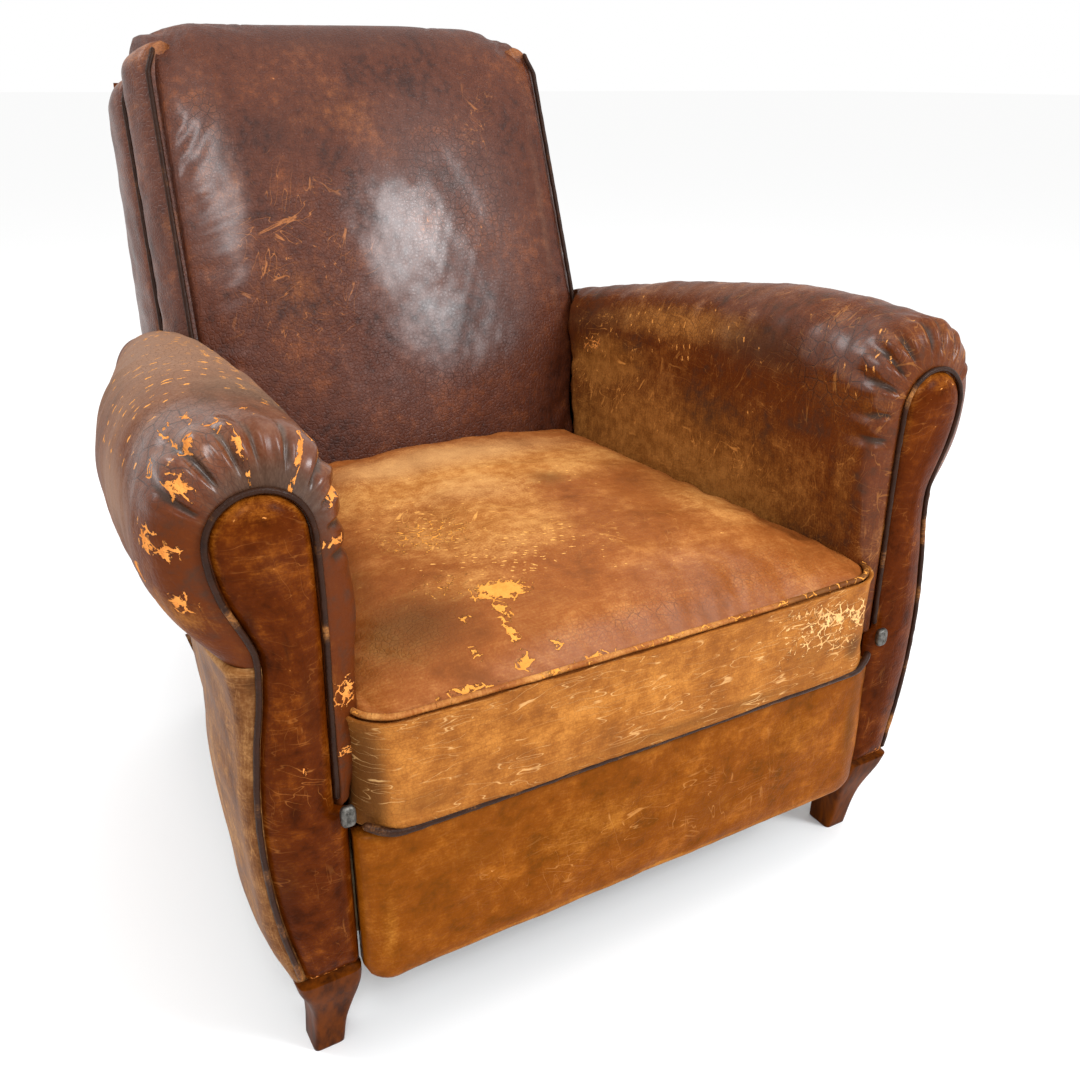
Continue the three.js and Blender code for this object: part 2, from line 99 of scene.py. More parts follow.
def arcLength(line):
    steps = np.linalg.norm(np.diff(line, axis=0), axis=1)
    return np.concatenate([[0], np.cumsum(steps)])


def lineThrough(points, count):  # evenly spaced points on a smooth line through the given ones
    p = np.array(points, float)
    chord = arcLength(p)
    fine = np.linspace(0, chord[-1], 1500)
    line = np.stack([valueAlong(np.stack([chord, p[:, k]], 1), fine) for k in range(p.shape[1])], 1)
    run = arcLength(line)
    even = np.linspace(0, run[-1], count)
    return np.stack([np.interp(even, run, line[:, k]) for k in range(p.shape[1])], 1)


def lumps(a, b, seed, size):  # a sum of ten plane waves of random heading and phase, about -1 to 1
    dice = np.random.default_rng(seed)
    total = np.zeros(np.broadcast(a, b).shape)
    for _ in range(10):
        heading, phase, stretch = dice.uniform(0, 2 * np.pi), dice.uniform(0, 2 * np.pi), dice.uniform(0.7, 1.5)
        total += np.sin(2 * np.pi * (a * np.cos(heading) + b * np.sin(heading)) / size * stretch + phase)
    return total / 4.5


def spots(a, b, places):  # soft dabs: (a, b, half width, half height, strength)
    total = np.zeros(np.broadcast(a, b).shape)
    for ca, cb, wide, high, strength in places:
        total = np.maximum(total, strength * np.exp(-(((a - ca) / wide) ** 2) - ((b - cb) / high) ** 2))
    return total


# ---- meshes


def gridMesh(name, points, wrap=False, paint=None, skin=None):
    # a surface over a grid of rows and columns; wrap joins the last column to the first
    rows, cols = points.shape[:2]
    index = np.arange(rows * cols).reshape(rows, cols)
    flat = points if not wrap else np.concatenate([points, points[:, :1]], 1)
    if wrap:
        index = np.concatenate([index, index[:, :1]], 1)
    if skin is None:  # the mean run of the rows and of the columns, in metres
        alongRows = np.linalg.norm(np.diff(flat, axis=0), axis=2)
        alongCols = np.linalg.norm(np.diff(flat, axis=1), axis=2)
        down = np.concatenate([[0], np.cumsum(np.quantile(alongRows, 0.7, axis=1))])
        across = np.concatenate([[0], np.cumsum(np.quantile(alongCols, 0.7, axis=0))])
        skin = np.stack(np.broadcast_arrays(across[None, :], down[:, None]), -1)
    corner = lambda grid: np.stack([grid[:-1, :-1], grid[:-1, 1:], grid[1:, 1:], grid[1:, :-1]], 2)
    faces = corner(index).reshape(-1, 4)
    mesh = bpy.data.meshes.new(name)
    mesh.from_pydata(points.reshape(-1, 3), [], faces)
    mesh.polygons.foreach_set("use_smooth", np.ones(len(faces), bool))
    layer = mesh.uv_layers.new(name="skin")
    layer.data.foreach_set("uv", corner(skin).reshape(-1).astype(np.float32))
    for key, value in (paint or {}).items():
        layer = mesh.attributes.new(key, "FLOAT", "POINT")
        layer.data.foreach_set("value", np.broadcast_to(value, (rows, cols)).reshape(-1).astype(np.float32))
    piece = bpy.data.objects.new(name, mesh)
    bpy.context.scene.collection.objects.link(piece)
    close(piece)
    return piece


def close(piece):  # joins the seam and the poles, and turns every face outwards
    work = bmesh.new()
    work.from_mesh(piece.data)
    bmesh.ops.remove_doubles(work, verts=work.verts, dist=2e-6)
    bmesh.ops.dissolve_degenerate(work, edges=work.edges, dist=1e-6)
    bmesh.ops.recalc_face_normals(work, faces=work.faces)
    if work.calc_volume(signed=True) < 0:
        bmesh.ops.reverse_faces(work, faces=work.faces)
    work.to_mesh(piece.data)
    work.free()


def mirrored(points, side):  # side is 1 for the right-hand piece and -1 for the left-hand one
    return points * np.array([side, 1, 1])


def pushed(points, amount):  # moves a grid along its own normals; amount is in metres
    down = np.gradient(points, axis=0)
    across = np.gradient(points, axis=1)
    normal = np.cross(across, down)
    normal /= np.linalg.norm(normal, axis=2, keepdims=True) + 1e-12
    return points + normal * amount[..., None]


def cordMesh(name, line, radius, upright, paint=None, sides=12, seed=1):
    # a round section carried on a line that lies nearly square to upright; the ends are closed
    p = toMetres(line[:, 0], line[:, 1], line[:, 2])
    along = np.gradient(p, axis=0)
    along /= np.linalg.norm(along, axis=1, keepdims=True)
    out = np.cross(along, upright)
    out /= np.linalg.norm(out, axis=1, keepdims=True)
    up = np.cross(out, along)
    turn = np.linspace(0, 2 * np.pi, sides, endpoint=False)
    run = arcLength(line)
    thick = radius * mm * (1 + 0.07 * lumps(run[:, None], turn[None, :] * 4, seed, 17))
    ends = np.minimum(run, run[-1] - run)
    thick = thick * np.sqrt(np.clip(ends / radius, 0, 1))[:, None]
    ring = out[:, None] * np.cos(turn)[None, :, None] + up[:, None] * np.sin(turn)[None, :, None]
    return gridMesh(name, p[:, None] + ring * thick[..., None], wrap=True, paint=paint)


def finishPiece(piece, slot, *nodes, fill=None, material=None):
    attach(piece, "root")
    if nodes:
        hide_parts(*nodes)
    if material:
        piece.data.materials.append(material)
    return piece


# ---- shader words


class Wire:  # a socket that can be added, multiplied and so on
    def __init__(self, shader, socket):
        self.shader = shader
        self.socket = socket

    def sum(self, operation, a, b):
        return self.shader.add("ShaderNodeMath", {"operation": operation}, {0: a, 1: b})

    def __add__(self, other):
        return self.sum("ADD", self, other)

    def __radd__(self, other):
        return self.sum("ADD", other, self)

    def __sub__(self, other):
        return self.sum("SUBTRACT", self, other)

    def __rsub__(self, other):
        return self.sum("SUBTRACT", other, self)

    def __mul__(self, other):
        return self.sum("MULTIPLY", self, other)

    def __rmul__(self, other):
        return self.sum("MULTIPLY", other, self)

    def __truediv__(self, other):
        return self.sum("DIVIDE", self, other)

    def __abs__(self):
        return self.sum("ABSOLUTE", self, 0)

    def most(self, other):
        return self.sum("MAXIMUM", self, other)

    def least(self, other):
        return self.sum("MINIMUM", self, other)


class Shader:
    def __init__(self, name):
        self.material = bpy.data.materials.new(name)
        self.material.use_nodes = True
        self.tree = self.material.node_tree
        self.tree.nodes.clear()
        self.surface = self.tree.nodes.new("ShaderNodeBsdfPrincipled")
        out = self.tree.nodes.new("ShaderNodeOutputMaterial")
        self.tree.links.new(self.surface.outputs[0], out.inputs[0])

    def put(self, socket, value):
        if isinstance(value, Wire):
            self.tree.links.new(value.socket, socket)
        elif isinstance(value, (tuple, list)) and len(value) == 3 and len(socket.default_value) == 4:
            socket.default_value = (*value, 1)
        else:
            socket.default_value = value

    def add(self, kind, settings=None, values=None, output=0):
        node = self.tree.nodes.new(kind)
        for key, value in (settings or {}).items():
            if key == "stops":
                ramp = node.color_ramp
                while len(ramp.elements) < len(value):
                    ramp.elements.new(0.5)
                for element, (place, colour) in zip(ramp.elements, value):
                    element.position = place
                    element.color = (*colour, 1)
            else:
                setattr(node, key, value)
        for key, value in (values or {}).items():
            self.put(node.inputs[key], value)
        return Wire(self, node.outputs[output])

    def finish(self, **values):
        names = {"base": "Base Color", "coat": "Coat Weight", "coatRough": "Coat Roughness", "sheen": "Sheen Weight",
                 "sheenRough": "Sheen Roughness", "specular": "Specular IOR Level"}
        for key, value in values.items():
            self.put(self.surface.inputs[names.get(key, key.capitalize())], value)
        return self.material

    # the few patterns that every surface here is made of; sizes are in metres on the skin

    def skin(self):
        return self.add("ShaderNodeUVMap", {"uv_map": "skin"}, {}, "UV")

    def place(self):
        return self.add("ShaderNodeTexCoord", {}, {}, "Object")

    def paint(self, key):
        return self.add("ShaderNodeAttribute", {"attribute_name": key}, {}, "Fac")

    def turned(self, at, angle=0.0, stretch=(1, 1, 1), shift=(0, 0, 0)):
        size = tuple(1 / k for k in stretch)  # this kind of mapping turns first and divides by the size last
        values = {"Vector": at, "Location": shift, "Rotation": (0, 0, angle), "Scale": size}
        return self.add("ShaderNodeMapping", {"vector_type": "TEXTURE"}, values)

    def noise(self, at, size, detail=3.0, rough=0.55, output="Fac"):
        return self.add("ShaderNodeTexNoise", {}, {"Vector": at, "Scale": 1 / size, "Detail": detail,
                                                   "Roughness": rough}, output)

    def cells(self, at, size, feature="F1", output="Distance"):
        settings = {"voronoi_dimensions": "2D", "feature": feature}
        return self.add("ShaderNodeTexVoronoi", settings, {"Vector": at, "Scale": 1 / size}, output)

    def warped(self, at, size, reach):
        drift = self.noise(at, size, 2.0, 0.5, "Color")
        centred = self.add("ShaderNodeVectorMath", {"operation": "SUBTRACT"}, {0: drift, 1: (0.5, 0.5, 0.5)}, "Vector")
        scaled = self.add("ShaderNodeVectorMath", {"operation": "SCALE"}, {0: centred, "Scale": reach}, "Vector")
        return self.add("ShaderNodeVectorMath", {"operation": "ADD"}, {0: at, 1: scaled}, "Vector")

    def ease(self, value, low, high):
        return self.add("ShaderNodeMapRange", {"interpolation_type": "SMOOTHSTEP"}, {"Value": value, "From Min": low,
                                                                                      "From Max": high})

    def blend(self, a, b, amount, way="MIX"):
        return self.add("ShaderNodeMix", {"data_type": "RGBA", "blend_type": way, "clamp_factor": True},
                        {0: amount, 6: a, 7: b}, 2)

    def relief(self, height, strength=1.0, base=None):
        values = {"Height": height, "Distance": 1.0, "Strength": strength}
        if base is not None:
            values["Normal"] = base
        return self.add("ShaderNodeBump", {}, values)


def scratchLines(s, at, headings, width, length, breaks):
    # thin level lines of a stretched noise, broken up by a second noise; one set for each heading
    total = None
    for k, heading in enumerate(headings):
        run = s.turned(at, heading, (1 / length, 1 / width, 1), (k * 3.7, k * 1.9, 0))
        ridge = abs(s.noise(run, 1.0, 1.0, 0.5) - 0.5)
        cutUp = s.ease(s.noise(s.turned(at, 0, (1, 1, 1), (k * 0.31, k * 0.17, 0)), length * 0.7, 2.0), breaks, breaks + 0.06)
        line = (1 - s.ease(ridge, 0.0, 0.008)) * cutUp
        total = line if total is None else total.most(line)
    return total


def leather(name, look):
    # dark to warm ground, worn to tan where the rub paint says so, darkened where painted dark, cracked, flecked and
    # scratched, bare hide under all; on some pieces the rub paint is partly painted light and the dark paint partly
    # painted shade
    s = Shader(name)
    at = s.skin()
    wavy = s.warped(at, 0.02, 0.006)
    broad = s.noise(at, look["mottle"], 4.0, 0.6)
    middle = s.noise(wavy, 0.013, 4.0, 0.62)
    fine = s.noise(at, 0.0022, 3.0, 0.6)
    rub, dark, bare, dust = (s.paint(k) for k in ("rub", "dark", "bare", "dust"))
    crack, fleck, scratch, shine = (s.paint(k) for k in ("crack", "fleck", "scratch", "shine"))
    drift = (broad - 0.5) * 1.2 + (middle - 0.5) * look["patch"]

    colour = s.blend(look["ground"], look["deep"], s.ease(0 - drift, -0.02, 0.34) * look["patch"])
    colour = s.blend(colour, look["warm"], s.ease(drift, 0.0, 0.34) * look["warmth"])
    fibre = s.noise(s.turned(at, 0, (0.07, 1, 1)), 0.0016, 3.0, 0.6)
    tone = middle * 0.5 + fine * 0.25 + fibre * 0.25 + (broad - 0.5) * 0.5
    worn = s.blend(look["rubDark"], look["rubLight"], s.ease(tone, 0.36, 0.66))
    # the rub mask is wear and, on some pieces, painted light; the dark blend below is darker patches and, in places,
    # painted shade
    rubbedAndLit = s.ease(rub + drift * 0.5 + (fine - 0.5) * 0.5 + (fibre - 0.5) * 0.3, 0.15, 0.9)
    colour = s.blend(colour, worn, rubbedAndLit)
    colour = s.blend(colour, look["deep"], s.ease(dark + drift * 0.4 + (fine - 0.5) * 0.2, 0.2, 0.9) * 0.85)
    colour = s.blend(colour, look["dust"], s.ease(dust + drift * 0.4 + (fine - 0.5) * 0.4, 0.15, 0.95) * 0.85)

    # cracks: two nets of cell edges, the wide one only where the paint is strong
    net = s.cells(wavy, look["crackSize"], "DISTANCE_TO_EDGE")
    fineNet = s.cells(s.warped(at, 0.006, 0.003), look["crackSize"] * 0.36, "DISTANCE_TO_EDGE")
    strength = crack + (broad - 0.5) * 0.6
    wide = (1 - s.ease(net, 0.0, 0.03 + 0.05 * crack)) * s.ease(strength, 0.5, 0.9) * s.ease(middle, 0.36, 0.5)
    small = (1 - s.ease(fineNet, 0.0, 0.12)) * s.ease(strength, 0.12, 0.7) * s.ease(fine, 0.3, 0.55)
    cracks = wide.most(small * 0.65)
    colour = s.blend(colour, look["crackColour"], cracks * 0.7)

    # flecks: short dashes lost from the surface, one to a cell, their number set by the paint
    lane = s.turned(s.warped(at, 0.012, 0.009), look.get("fleckTurn", 0.0), (0.38, 1.0, 1.0))
    dash = s.cells(lane, look.get("fleckSize", 0.0042), "F1", "Distance")
    draw = s.add("ShaderNodeSeparateColor", {}, {0: s.cells(lane, look.get("fleckSize", 0.0042), "F1", "Color")})
    chosen = s.ease(fleck * 0.8 + (broad - 0.5) * 0.5 + (middle - 0.5) * 0.8 - 0.13 - draw, 0.0, 0.05)
    flecks = (1 - s.ease(dash + (fine - 0.5) * 0.8 + (middle - 0.5) * 0.5, 0.15, 0.26)) * chosen
    lines = scratchLines(s, wavy, look.get("headings", (0.4, 1.3, 2.3)), 0.012, 0.07, 0.5)
    lines = lines * s.ease(scratch + (broad - 0.5) * 0.4, 0.2, 0.8)
    marks = flecks.most(lines * 0.7)
    colour = s.blend(colour, s.blend(look["mark"], look["bare"], fine), marks)

    ragged = s.noise(s.warped(at, 0.006, 0.009), 0.011, 6.0, 0.75)
    branches = 1 - s.ease(s.cells(s.warped(at, 0.008, 0.007), 0.011, "DISTANCE_TO_EDGE"), 0.0, 0.13)
    peel = bare + (ragged - 0.5) * 2.6 + branches * 0.42 * s.ease(bare, 0.05, 0.4) + (fine - 0.5) * 0.5
    torn = s.ease(peel, 0.66, 0.70)
    lip = s.ease(peel, 0.56, 0.67) - torn
    nap = s.noise(at, 0.0009, 2.0, 0.7)
    hide = s.blend(look["bare"], look["bareDark"], s.ease(middle + (nap - 0.5) * 0.5, 0.35, 0.75))
    colour = s.blend(s.blend(colour, look["deep"], lip.most(0.0) * 0.5), hide, torn)

    grain = s.cells(at, look["grain"], "SMOOTH_F1")
    pore = s.noise(at, 0.0007, 2.0, 0.5)
    rough = look["rough"] + (middle - 0.5) * 0.14 + rubbedAndLit * 0.14 + marks * 0.2 + dust * 0.16 + cracks * 0.15 - shine * look.get("gloss", 0.14)
    rough = rough + torn * 0.4
    crease = 1 - s.ease(s.cells(s.warped(at, 0.01, 0.005), look["crackSize"] * 0.62, "DISTANCE_TO_EDGE"), 0.0, 0.2)
    height = (
        grain * look.get("grainDepth", 0.00013)
        + middle * 0.00032
        + fibre * 0.00010
        + pore * 0.00006
        - wide * 0.0007
        - small * 0.00025
        - crease * look.get("creaseDepth", 0.00012)
        - flecks * 0.00035
        - lines * 0.00018
        + lip * 0.0003
        - torn * 0.0008
    )
    coat = s.ease(shine + drift * 0.5 - torn - dust * 0.4, 0.15, 1.0) * look["coat"]
    return s.finish(base=colour, roughness=rough.most(0.2), normal=s.relief(height, 0.9), specular=look["specular"],
                    coat=coat, coatRough=0.25)


def plainStuff(name, dark, light, size, rough, stretch=(1, 1, 1), metallic=0.0, depth=0.0003):
    # a ground that goes between two colours in stretched noise, with the same noise as relief
    s = Shader(name)
    at = s.turned(s.place(), 0, stretch)
    streak = s.noise(at, size, 4.0, 0.6)
    fine = s.noise(at, size * 0.2, 3.0, 0.6)
    colour = s.blend(dark, light, s.ease(streak + (fine - 0.5) * 0.5, 0.3, 0.7))
    return s.finish(base=colour, roughness=rough + (fine - 0.5) * 0.2, metallic=metallic,
                    specular=0.02,
                    normal=s.relief(streak * depth + fine * depth * 0.5))


print("words ready")

# ---- camera and light first

view = {"place": (-485.0, -650.0, 809.0), "heading": 29.9, "down": 24.1, "roll": 0.31, "lens": 34.5}


def makeCamera():
    lens = bpy.data.cameras.new("camera")
    lens.lens = view["lens"]
    lens.sensor_width = 36
    heading, down, roll = (math.radians(view[k]) for k in ("heading", "down", "roll"))
    forward = np.array([math.sin(heading) * math.cos(down), math.cos(heading) * math.cos(down), -math.sin(down)])
    level = np.array([math.cos(heading), -math.sin(heading), 0])
    upward = np.cross(level, forward)
    right = level * math.cos(roll) + upward * math.sin(roll)
    upward = np.cross(right, forward)
    camera = bpy.data.objects.new("camera", lens)
    where = toMetres(*view["place"])
    rows = [[right[k], upward[k], -forward[k], where[k]] for k in range(3)]
    camera.matrix_world = Matrix(rows + [[0, 0, 0, 1]])
    bpy.context.scene.collection.objects.link(camera)
    bpy.context.scene.camera = camera


def softLight(name, place, aim, size, power, colour):
    lamp = bpy.data.lights.new(name, "AREA")
    lamp.shape = "RECTANGLE"
    lamp.size, lamp.size_y = size
    lamp.energy = power
    lamp.color = colour
    light = bpy.data.objects.new(name, lamp)
    z = np.array(place, float) - np.array(aim, float)
    z /= np.linalg.norm(z)
    x = np.cross([0, 0, 1], z)
    x /= np.linalg.norm(x)
    y = np.cross(z, x)
    light.matrix_world = Matrix([[x[k], y[k], z[k], place[k]] for k in range(3)] + [[0, 0, 0, 1]])
    bpy.context.scene.collection.objects.link(light)


def makeStage():
    s = Shader("pale floor")
    floorLook = s.finish(base=(0.96, 0.96, 0.958), roughness=0.95, specular=0.0)
    mesh = bpy.data.meshes.new("floor")
    reach = 60.0
    mesh.from_pydata([(-reach, -reach, 0), (reach, -reach, 0), (reach, reach, 0), (-reach, reach, 0)], [], [(0, 1, 2, 3)])
    mesh.materials.append(floorLook)
    floor = bpy.data.objects.new("floor", mesh)
    bpy.context.scene.collection.objects.link(floor)
    sky = bpy.data.worlds.new("studio")
    sky.use_nodes = True
    ground = sky.node_tree.nodes["Background"]
    ground.inputs[0].default_value = (1.0, 1.0, 1.0, 1)
    ground.inputs[1].default_value = 1.0
    bpy.context.scene.world = sky
    softLight("skylight", (-1.6, 0.9, 2.5), (0, -0.1, 0.4), (1.3, 1.0), 22, (0.93, 0.97, 1.0))
    softLight("window", (1.2, -2.15, 1.9), (0, 0.25, 0.65), (0.62, 0.8), 44, (0.93, 0.97, 1.0))
    softLight("leftWindow", (-0.75, -1.9, 2.15), (-0.2, 0.25, 0.75), (0.35, 0.9), 17, (0.93, 0.97, 1.0))
    softLight("overhead", (0.6, -0.3, 2.7), (0, 0, 0.4), (1.6, 1.6), 8, (1.0, 0.98, 0.95))
    bpy.context.scene.view_settings.view_transform = "Standard"


makeCamera()
makeStage()
print("camera and stage ready")

# ---- shells: an outer and an inner grid joined all round


def shell(name, outer, inner, paint=None, rim=0.0):
    # rim rounds all four edges: within that distance of an edge the outer face sinks towards the middle
    # by rim * (1 - sqrt(1 - w * w)), w going from 0 to 1
    middle = (outer + inner) / 2
    if rim:
        down = np.cumsum(np.linalg.norm(np.diff(outer, axis=0, prepend=outer[:1]), axis=2), axis=0)
        across = np.cumsum(np.linalg.norm(np.diff(outer, axis=1, prepend=outer[:, :1]), axis=2), axis=1)
        edge = np.minimum(np.minimum(down, down[-1:] - down), np.minimum(across, across[:, -1:] - across))
        w = np.clip(1 - edge / (rim * mm), 0, 1)
        sink = rim * mm * (1 - np.sqrt(1 - w * w))
        depth = np.linalg.norm(middle - outer, axis=2) + 1e-9
        outer = outer + (middle - outer) * np.minimum(1, sink / depth)[..., None]
    face = np.concatenate([outer, inner[:, ::-1]], 1)
    ends = np.concatenate([middle, middle[:, ::-1]], 1)
    grid = np.concatenate([ends[:1], face, ends[-1:]], 0)
    full = {}
    for key, value in (paint or {}).items():
        value = np.broadcast_to(value, outer.shape[:2])
        value = np.concatenate([value, value[:, ::-1]], 1)
        full[key] = np.concatenate([value[:1], value, value[-1:]], 0)
    full["held"] = np.ones(grid.shape[:2])
    full["held"][3:-3, 2 : outer.shape[1] - 2] = 0
    return gridMesh(name, grid, wrap=True, paint=full)


clothWords = {"pressure": 4.0, "frames": 14, "steps": 3, "tension": 15.0, "bending": 0.6, "slack": -0.014}


def swell(piece, reach):
    # blows the padding up with the cloth solver: the underside and the rim are held, and a point that has
    # moved by m ends at reach * tanh(m / reach), so nothing goes further than reach, in millimetres
    mesh, scene = piece.data, bpy.context.scene
    before = np.empty(len(mesh.vertices) * 3)
    mesh.vertices.foreach_get("co", before)
    held = np.empty(len(mesh.vertices))
    mesh.attributes["held"].data.foreach_get("value", held)
    piece.vertex_groups.new(name="held").add(np.flatnonzero(held > 0.5).tolist(), 1.0, "REPLACE")
    cloth = piece.modifiers.new("cloth", "CLOTH")
    stiff = cloth.settings
    stiff.vertex_group_mass = "held"
    stiff.quality = clothWords["steps"]
    stiff.use_pressure = True
    stiff.uniform_pressure_force = clothWords["pressure"]
    stiff.tension_stiffness = stiff.compression_stiffness = clothWords["tension"]
    stiff.bending_stiffness = clothWords["bending"]
    stiff.shrink_min = clothWords["slack"]
    stiff.effector_weights.gravity = 0
    cloth.point_cache.frame_end = clothWords["frames"]
    for moment in range(1, clothWords["frames"] + 1):
        scene.frame_set(moment)
    solved = piece.evaluated_get(bpy.context.evaluated_depsgraph_get()).to_mesh()
    after = np.empty_like(before)
    solved.vertices.foreach_get("co", after)
    move = (after - before).reshape(-1, 3)
    size = np.linalg.norm(move, axis=1, keepdims=True) + 1e-9
    move = move * np.tanh(size / (reach * mm)) * reach * mm / size
    piece.modifiers.remove(cloth)
    piece.vertex_groups.clear()
    mesh.vertices.foreach_set("co", (before.reshape(-1, 3) + move).reshape(-1))
    mesh.update()
    scene.frame_set(1)
    print(piece.name, "swelled by up to", round(float(np.linalg.norm(move, axis=1).max()) / mm, 1), "mm")
    return piece


paintKinds = ("rub", "dark", "bare", "dust", "crack", "fleck", "scratch", "shine")


def paintOver(wear, a, b):  # every kind of paint, wear and in places painted light and shade, is an even amount, then soft dabs of it
    painted = {}
    for kind in paintKinds:
        even, places = wear.get(kind, (0.0, []))
        painted[kind] = np.maximum(even, spots(a, b, places))
    return painted


# ---- the arms: one section carried from the front to the rear, the same for both sides

armSize = {
    "inner": [[0, 265], [130, 262], [280, 256], [400, 248], [500, 241], [600, 234], [730, 226]],
    "outer": [[0, 392], [50, 403], [120, 406], [200, 403], [240, 399], [300, 386], [365, 370], [420, 358], [500, 345],
              [600, 330], [730, 312]],
    "top": [[0, 597], [130, 604], [200, 602], [283, 593], [375, 580], [479, 559], [600, 530], [730, 494]],
    "inset": [[0, 0], [100, 1], [200, 15], [300, 31], [400, 45], [500, 58], [600, 70], [730, 84]],
    "section": [[277, 262], [277, 330], [276, 400], [266, 470], [264, 520], [269, 560], [287, 590], [312, 603],
                [333, 605.5], [356, 602], [378, 590], [395, 566], [404, 536], [405, 510], [401, 482], [390, 457],
                [375, 437], [364, 424]],
    "lining": [[299, 262], [299, 330], [299, 400], [299, 460], [299, 515], [303, 545], [315, 562], [333, 570],
               [350, 566], [363, 552], [372, 530], [371, 505], [366, 480], [356, 452], [345, 432]],
}
backSize = {"foot": (515, 385), "rake": math.radians(18.7), "halfTop": 252, "widening": 0.032, "top": 488}


def rearPlane(z):
    return 796 - 0.197 * (800 - np.asarray(z, float))


def backPoint(x, n, h):  # n is the depth behind the back's face, h the way up it
    rake, (d, z) = backSize["rake"], backSize["foot"]
    return x, d + h * np.sin(rake) + n * np.cos(rake), z + h * np.cos(rake) - n * np.sin(rake)


def backEdge(side, n, h):  # how far out the back's side is; its left side spreads out towards the rear
    spread = 0.36 * np.minimum(n, 72) + 0.04 * np.maximum(n - 72, 0)
    return backHalf(h) + np.where(side > 0, 3.0, spread - 20)


def backHalf(h):
    return backSize["halfTop"] + backSize["widening"] * (backSize["top"] - h)


def armPoint(x, d, z):
    inner, outer, top, inset = (valueAlong(armSize[k], d) for k in ("inner", "outer", "top", "inset"))
    lean = -30 * np.clip(d / 500, 0, 1) * np.clip((500 - z) / 120, 0, 1)
    roll = (inner + outer) / 2 + (x - 334) * (outer - inner) / 142
    high = np.where(x < 312, 1, smoothstep(z, 300, 470))
    across = mix(x - inset, roll, high) + np.where(x < 312, lean, 0)
    up = np.where(z > 262, 262 + (z - 262) * (top - 262) / 343, z)
    depth = np.where(d > 300, 300 + (d - 300) * (rearPlane(up) - 305) / 400, d)
    rake, (footD, footZ) = backSize["rake"], backSize["foot"]
    n = (depth - footD) * np.cos(rake) - (up - footZ) * np.sin(rake)
    h = (depth - footD) * np.sin(rake) + (up - footZ) * np.cos(rake)
    aside = smoothstep(n, -14, 10)
    across = np.where(x < 345, mix(across, np.maximum(across, backHalf(h) + 15), aside), across)
    return across, depth, up


headCentre = (329.5, 518)
outerLine = np.array([[366.5, 505], [361, 480], [351, 456], [343, 434], [343, 405], [350, 355], [355, 300], [355, 250],
                      [350, 190], [337, 118]])


def facingOuter(z):  # how far out the facing's cord runs at a height below the head
    return valueAlong(np.concatenate([outerLine[::-1, ::-1], [[518, 367.5]]]), z)


def facingEdge(x, z):  # the line the arm's leather starts from, beside the facing's cord
    toHead = np.hypot(x - headCentre[0], z - headCentre[1])
    headX = headCentre[0] + 40.4 * (x - headCentre[0]) / toHead
    headZ = headCentre[1] + 40.4 * (z - headCentre[1]) / toHead
    high = smoothstep(z, 500, 532)
    low = np.where(x < 333, 290.2, facingOuter(z) + 2.9)
    return mix(low, headX, high), mix(z, headZ, high)


def makeArmPad(side):
    # rows run back from the facing, columns run from the seat over the roll and round to the outer seam
    name = "armPad" + ("Right" if side > 0 else "Left")
    line = lineThrough(armSize["section"], 172)
    lining = lineThrough(armSize["lining"], 172)
    run = arcLength(line)
    edgeX, edgeZ = facingEdge(line[:, 0], line[:, 1])
    turn = np.linspace(0, np.pi / 2, 13)[:, None]
    rimDepth = 4 + 24 * (1 - np.cos(turn))
    rimX = mix(edgeX, line[:, 0], np.sin(turn))
    rimZ = mix(edgeZ, line[:, 1], np.sin(turn))
    body = np.concatenate([np.arange(30.5, 90, 3.2), np.arange(92, 700, 5.6), [700]])[:, None]
    x = np.concatenate([rimX, np.broadcast_to(line[:, 0], (len(body), 172))])
    z = np.concatenate([rimZ, np.broadcast_to(line[:, 1], (len(body), 172))])
    d = np.concatenate([np.broadcast_to(rimDepth, (13, 172)), np.broadcast_to(body, (len(body), 172))])
    low = 1 - smoothstep(z, 290, 345)
    x = x - 13 * np.exp(-((d / 110) ** 2)) * (x < 320) * smoothstep(z, 262, 300) * (1 - smoothstep(z, 430, 520)) * smoothstep(d, 3, 14)
    z = z + 20 * (1 - smoothstep(d, 12, 44)) * low
    outer = toMetres(*armPoint(x, d, z))
    inner = toMetres(*armPoint(np.broadcast_to(lining[:, 0], d.shape), np.maximum(d, 16), np.broadcast_to(lining[:, 1], d.shape)))

    # pleats drawn in round the head, then folds and sag over the rest
    seed = 11 if side > 0 else 23
    dice = np.random.default_rng(seed)
    away = np.maximum(d - 4, 0)
    pleat = np.zeros(d.shape)
    for place in np.array([236, 262, 291, 319, 346, 374, 402, 431, 462]) + dice.uniform(-5, 5, 9):
        reach, depth, slant = dice.uniform(20, 40), dice.uniform(4.0, 7.2), dice.uniform(-0.25, 0.25)
        off = run[None, :] - place - slant * away - 2 * lumps(away, place, seed + 3, 60)
        width = 3.0 + 0.1 * away
        groove = np.exp(-((off / width) ** 2)) - 0.32 * np.exp(-(((np.abs(off) - 2.1 * width) / (width * 1.1)) ** 2))
        pleat -= depth * groove * np.exp(-((away / reach) ** 2)) * smoothstep(away, 0, 5)
    below = smoothstep(run, 60, 200)[None, :]
    folds = 1.5 * lumps(d * 0.9, run[None, :] * 0.45, seed, 92) + 0.75 * lumps(d, run[None, :] * 0.3, seed + 1, 34)
    folds += 0.35 * lumps(d, run[None, :] * 0.25, seed + 2, 15)
    calm = smoothstep(away, 6, 60) * smoothstep(run[-1] - run, 0, 30)[None, :]
    outer = pushed(outer, (pleat + folds * calm * mix(0.45, 1, below)) * mm)
    look = paintOver(armWearLightAndShade[name], d, run[None, :])
    # painted shade: darker in the pleat grooves, as much as each groove is deep
    look["dark"] = np.maximum(look["dark"], smoothstep(-pleat, 1.0, 4.0))
    return shell(name, mirrored(outer, side), mirrored(inner, side), look)



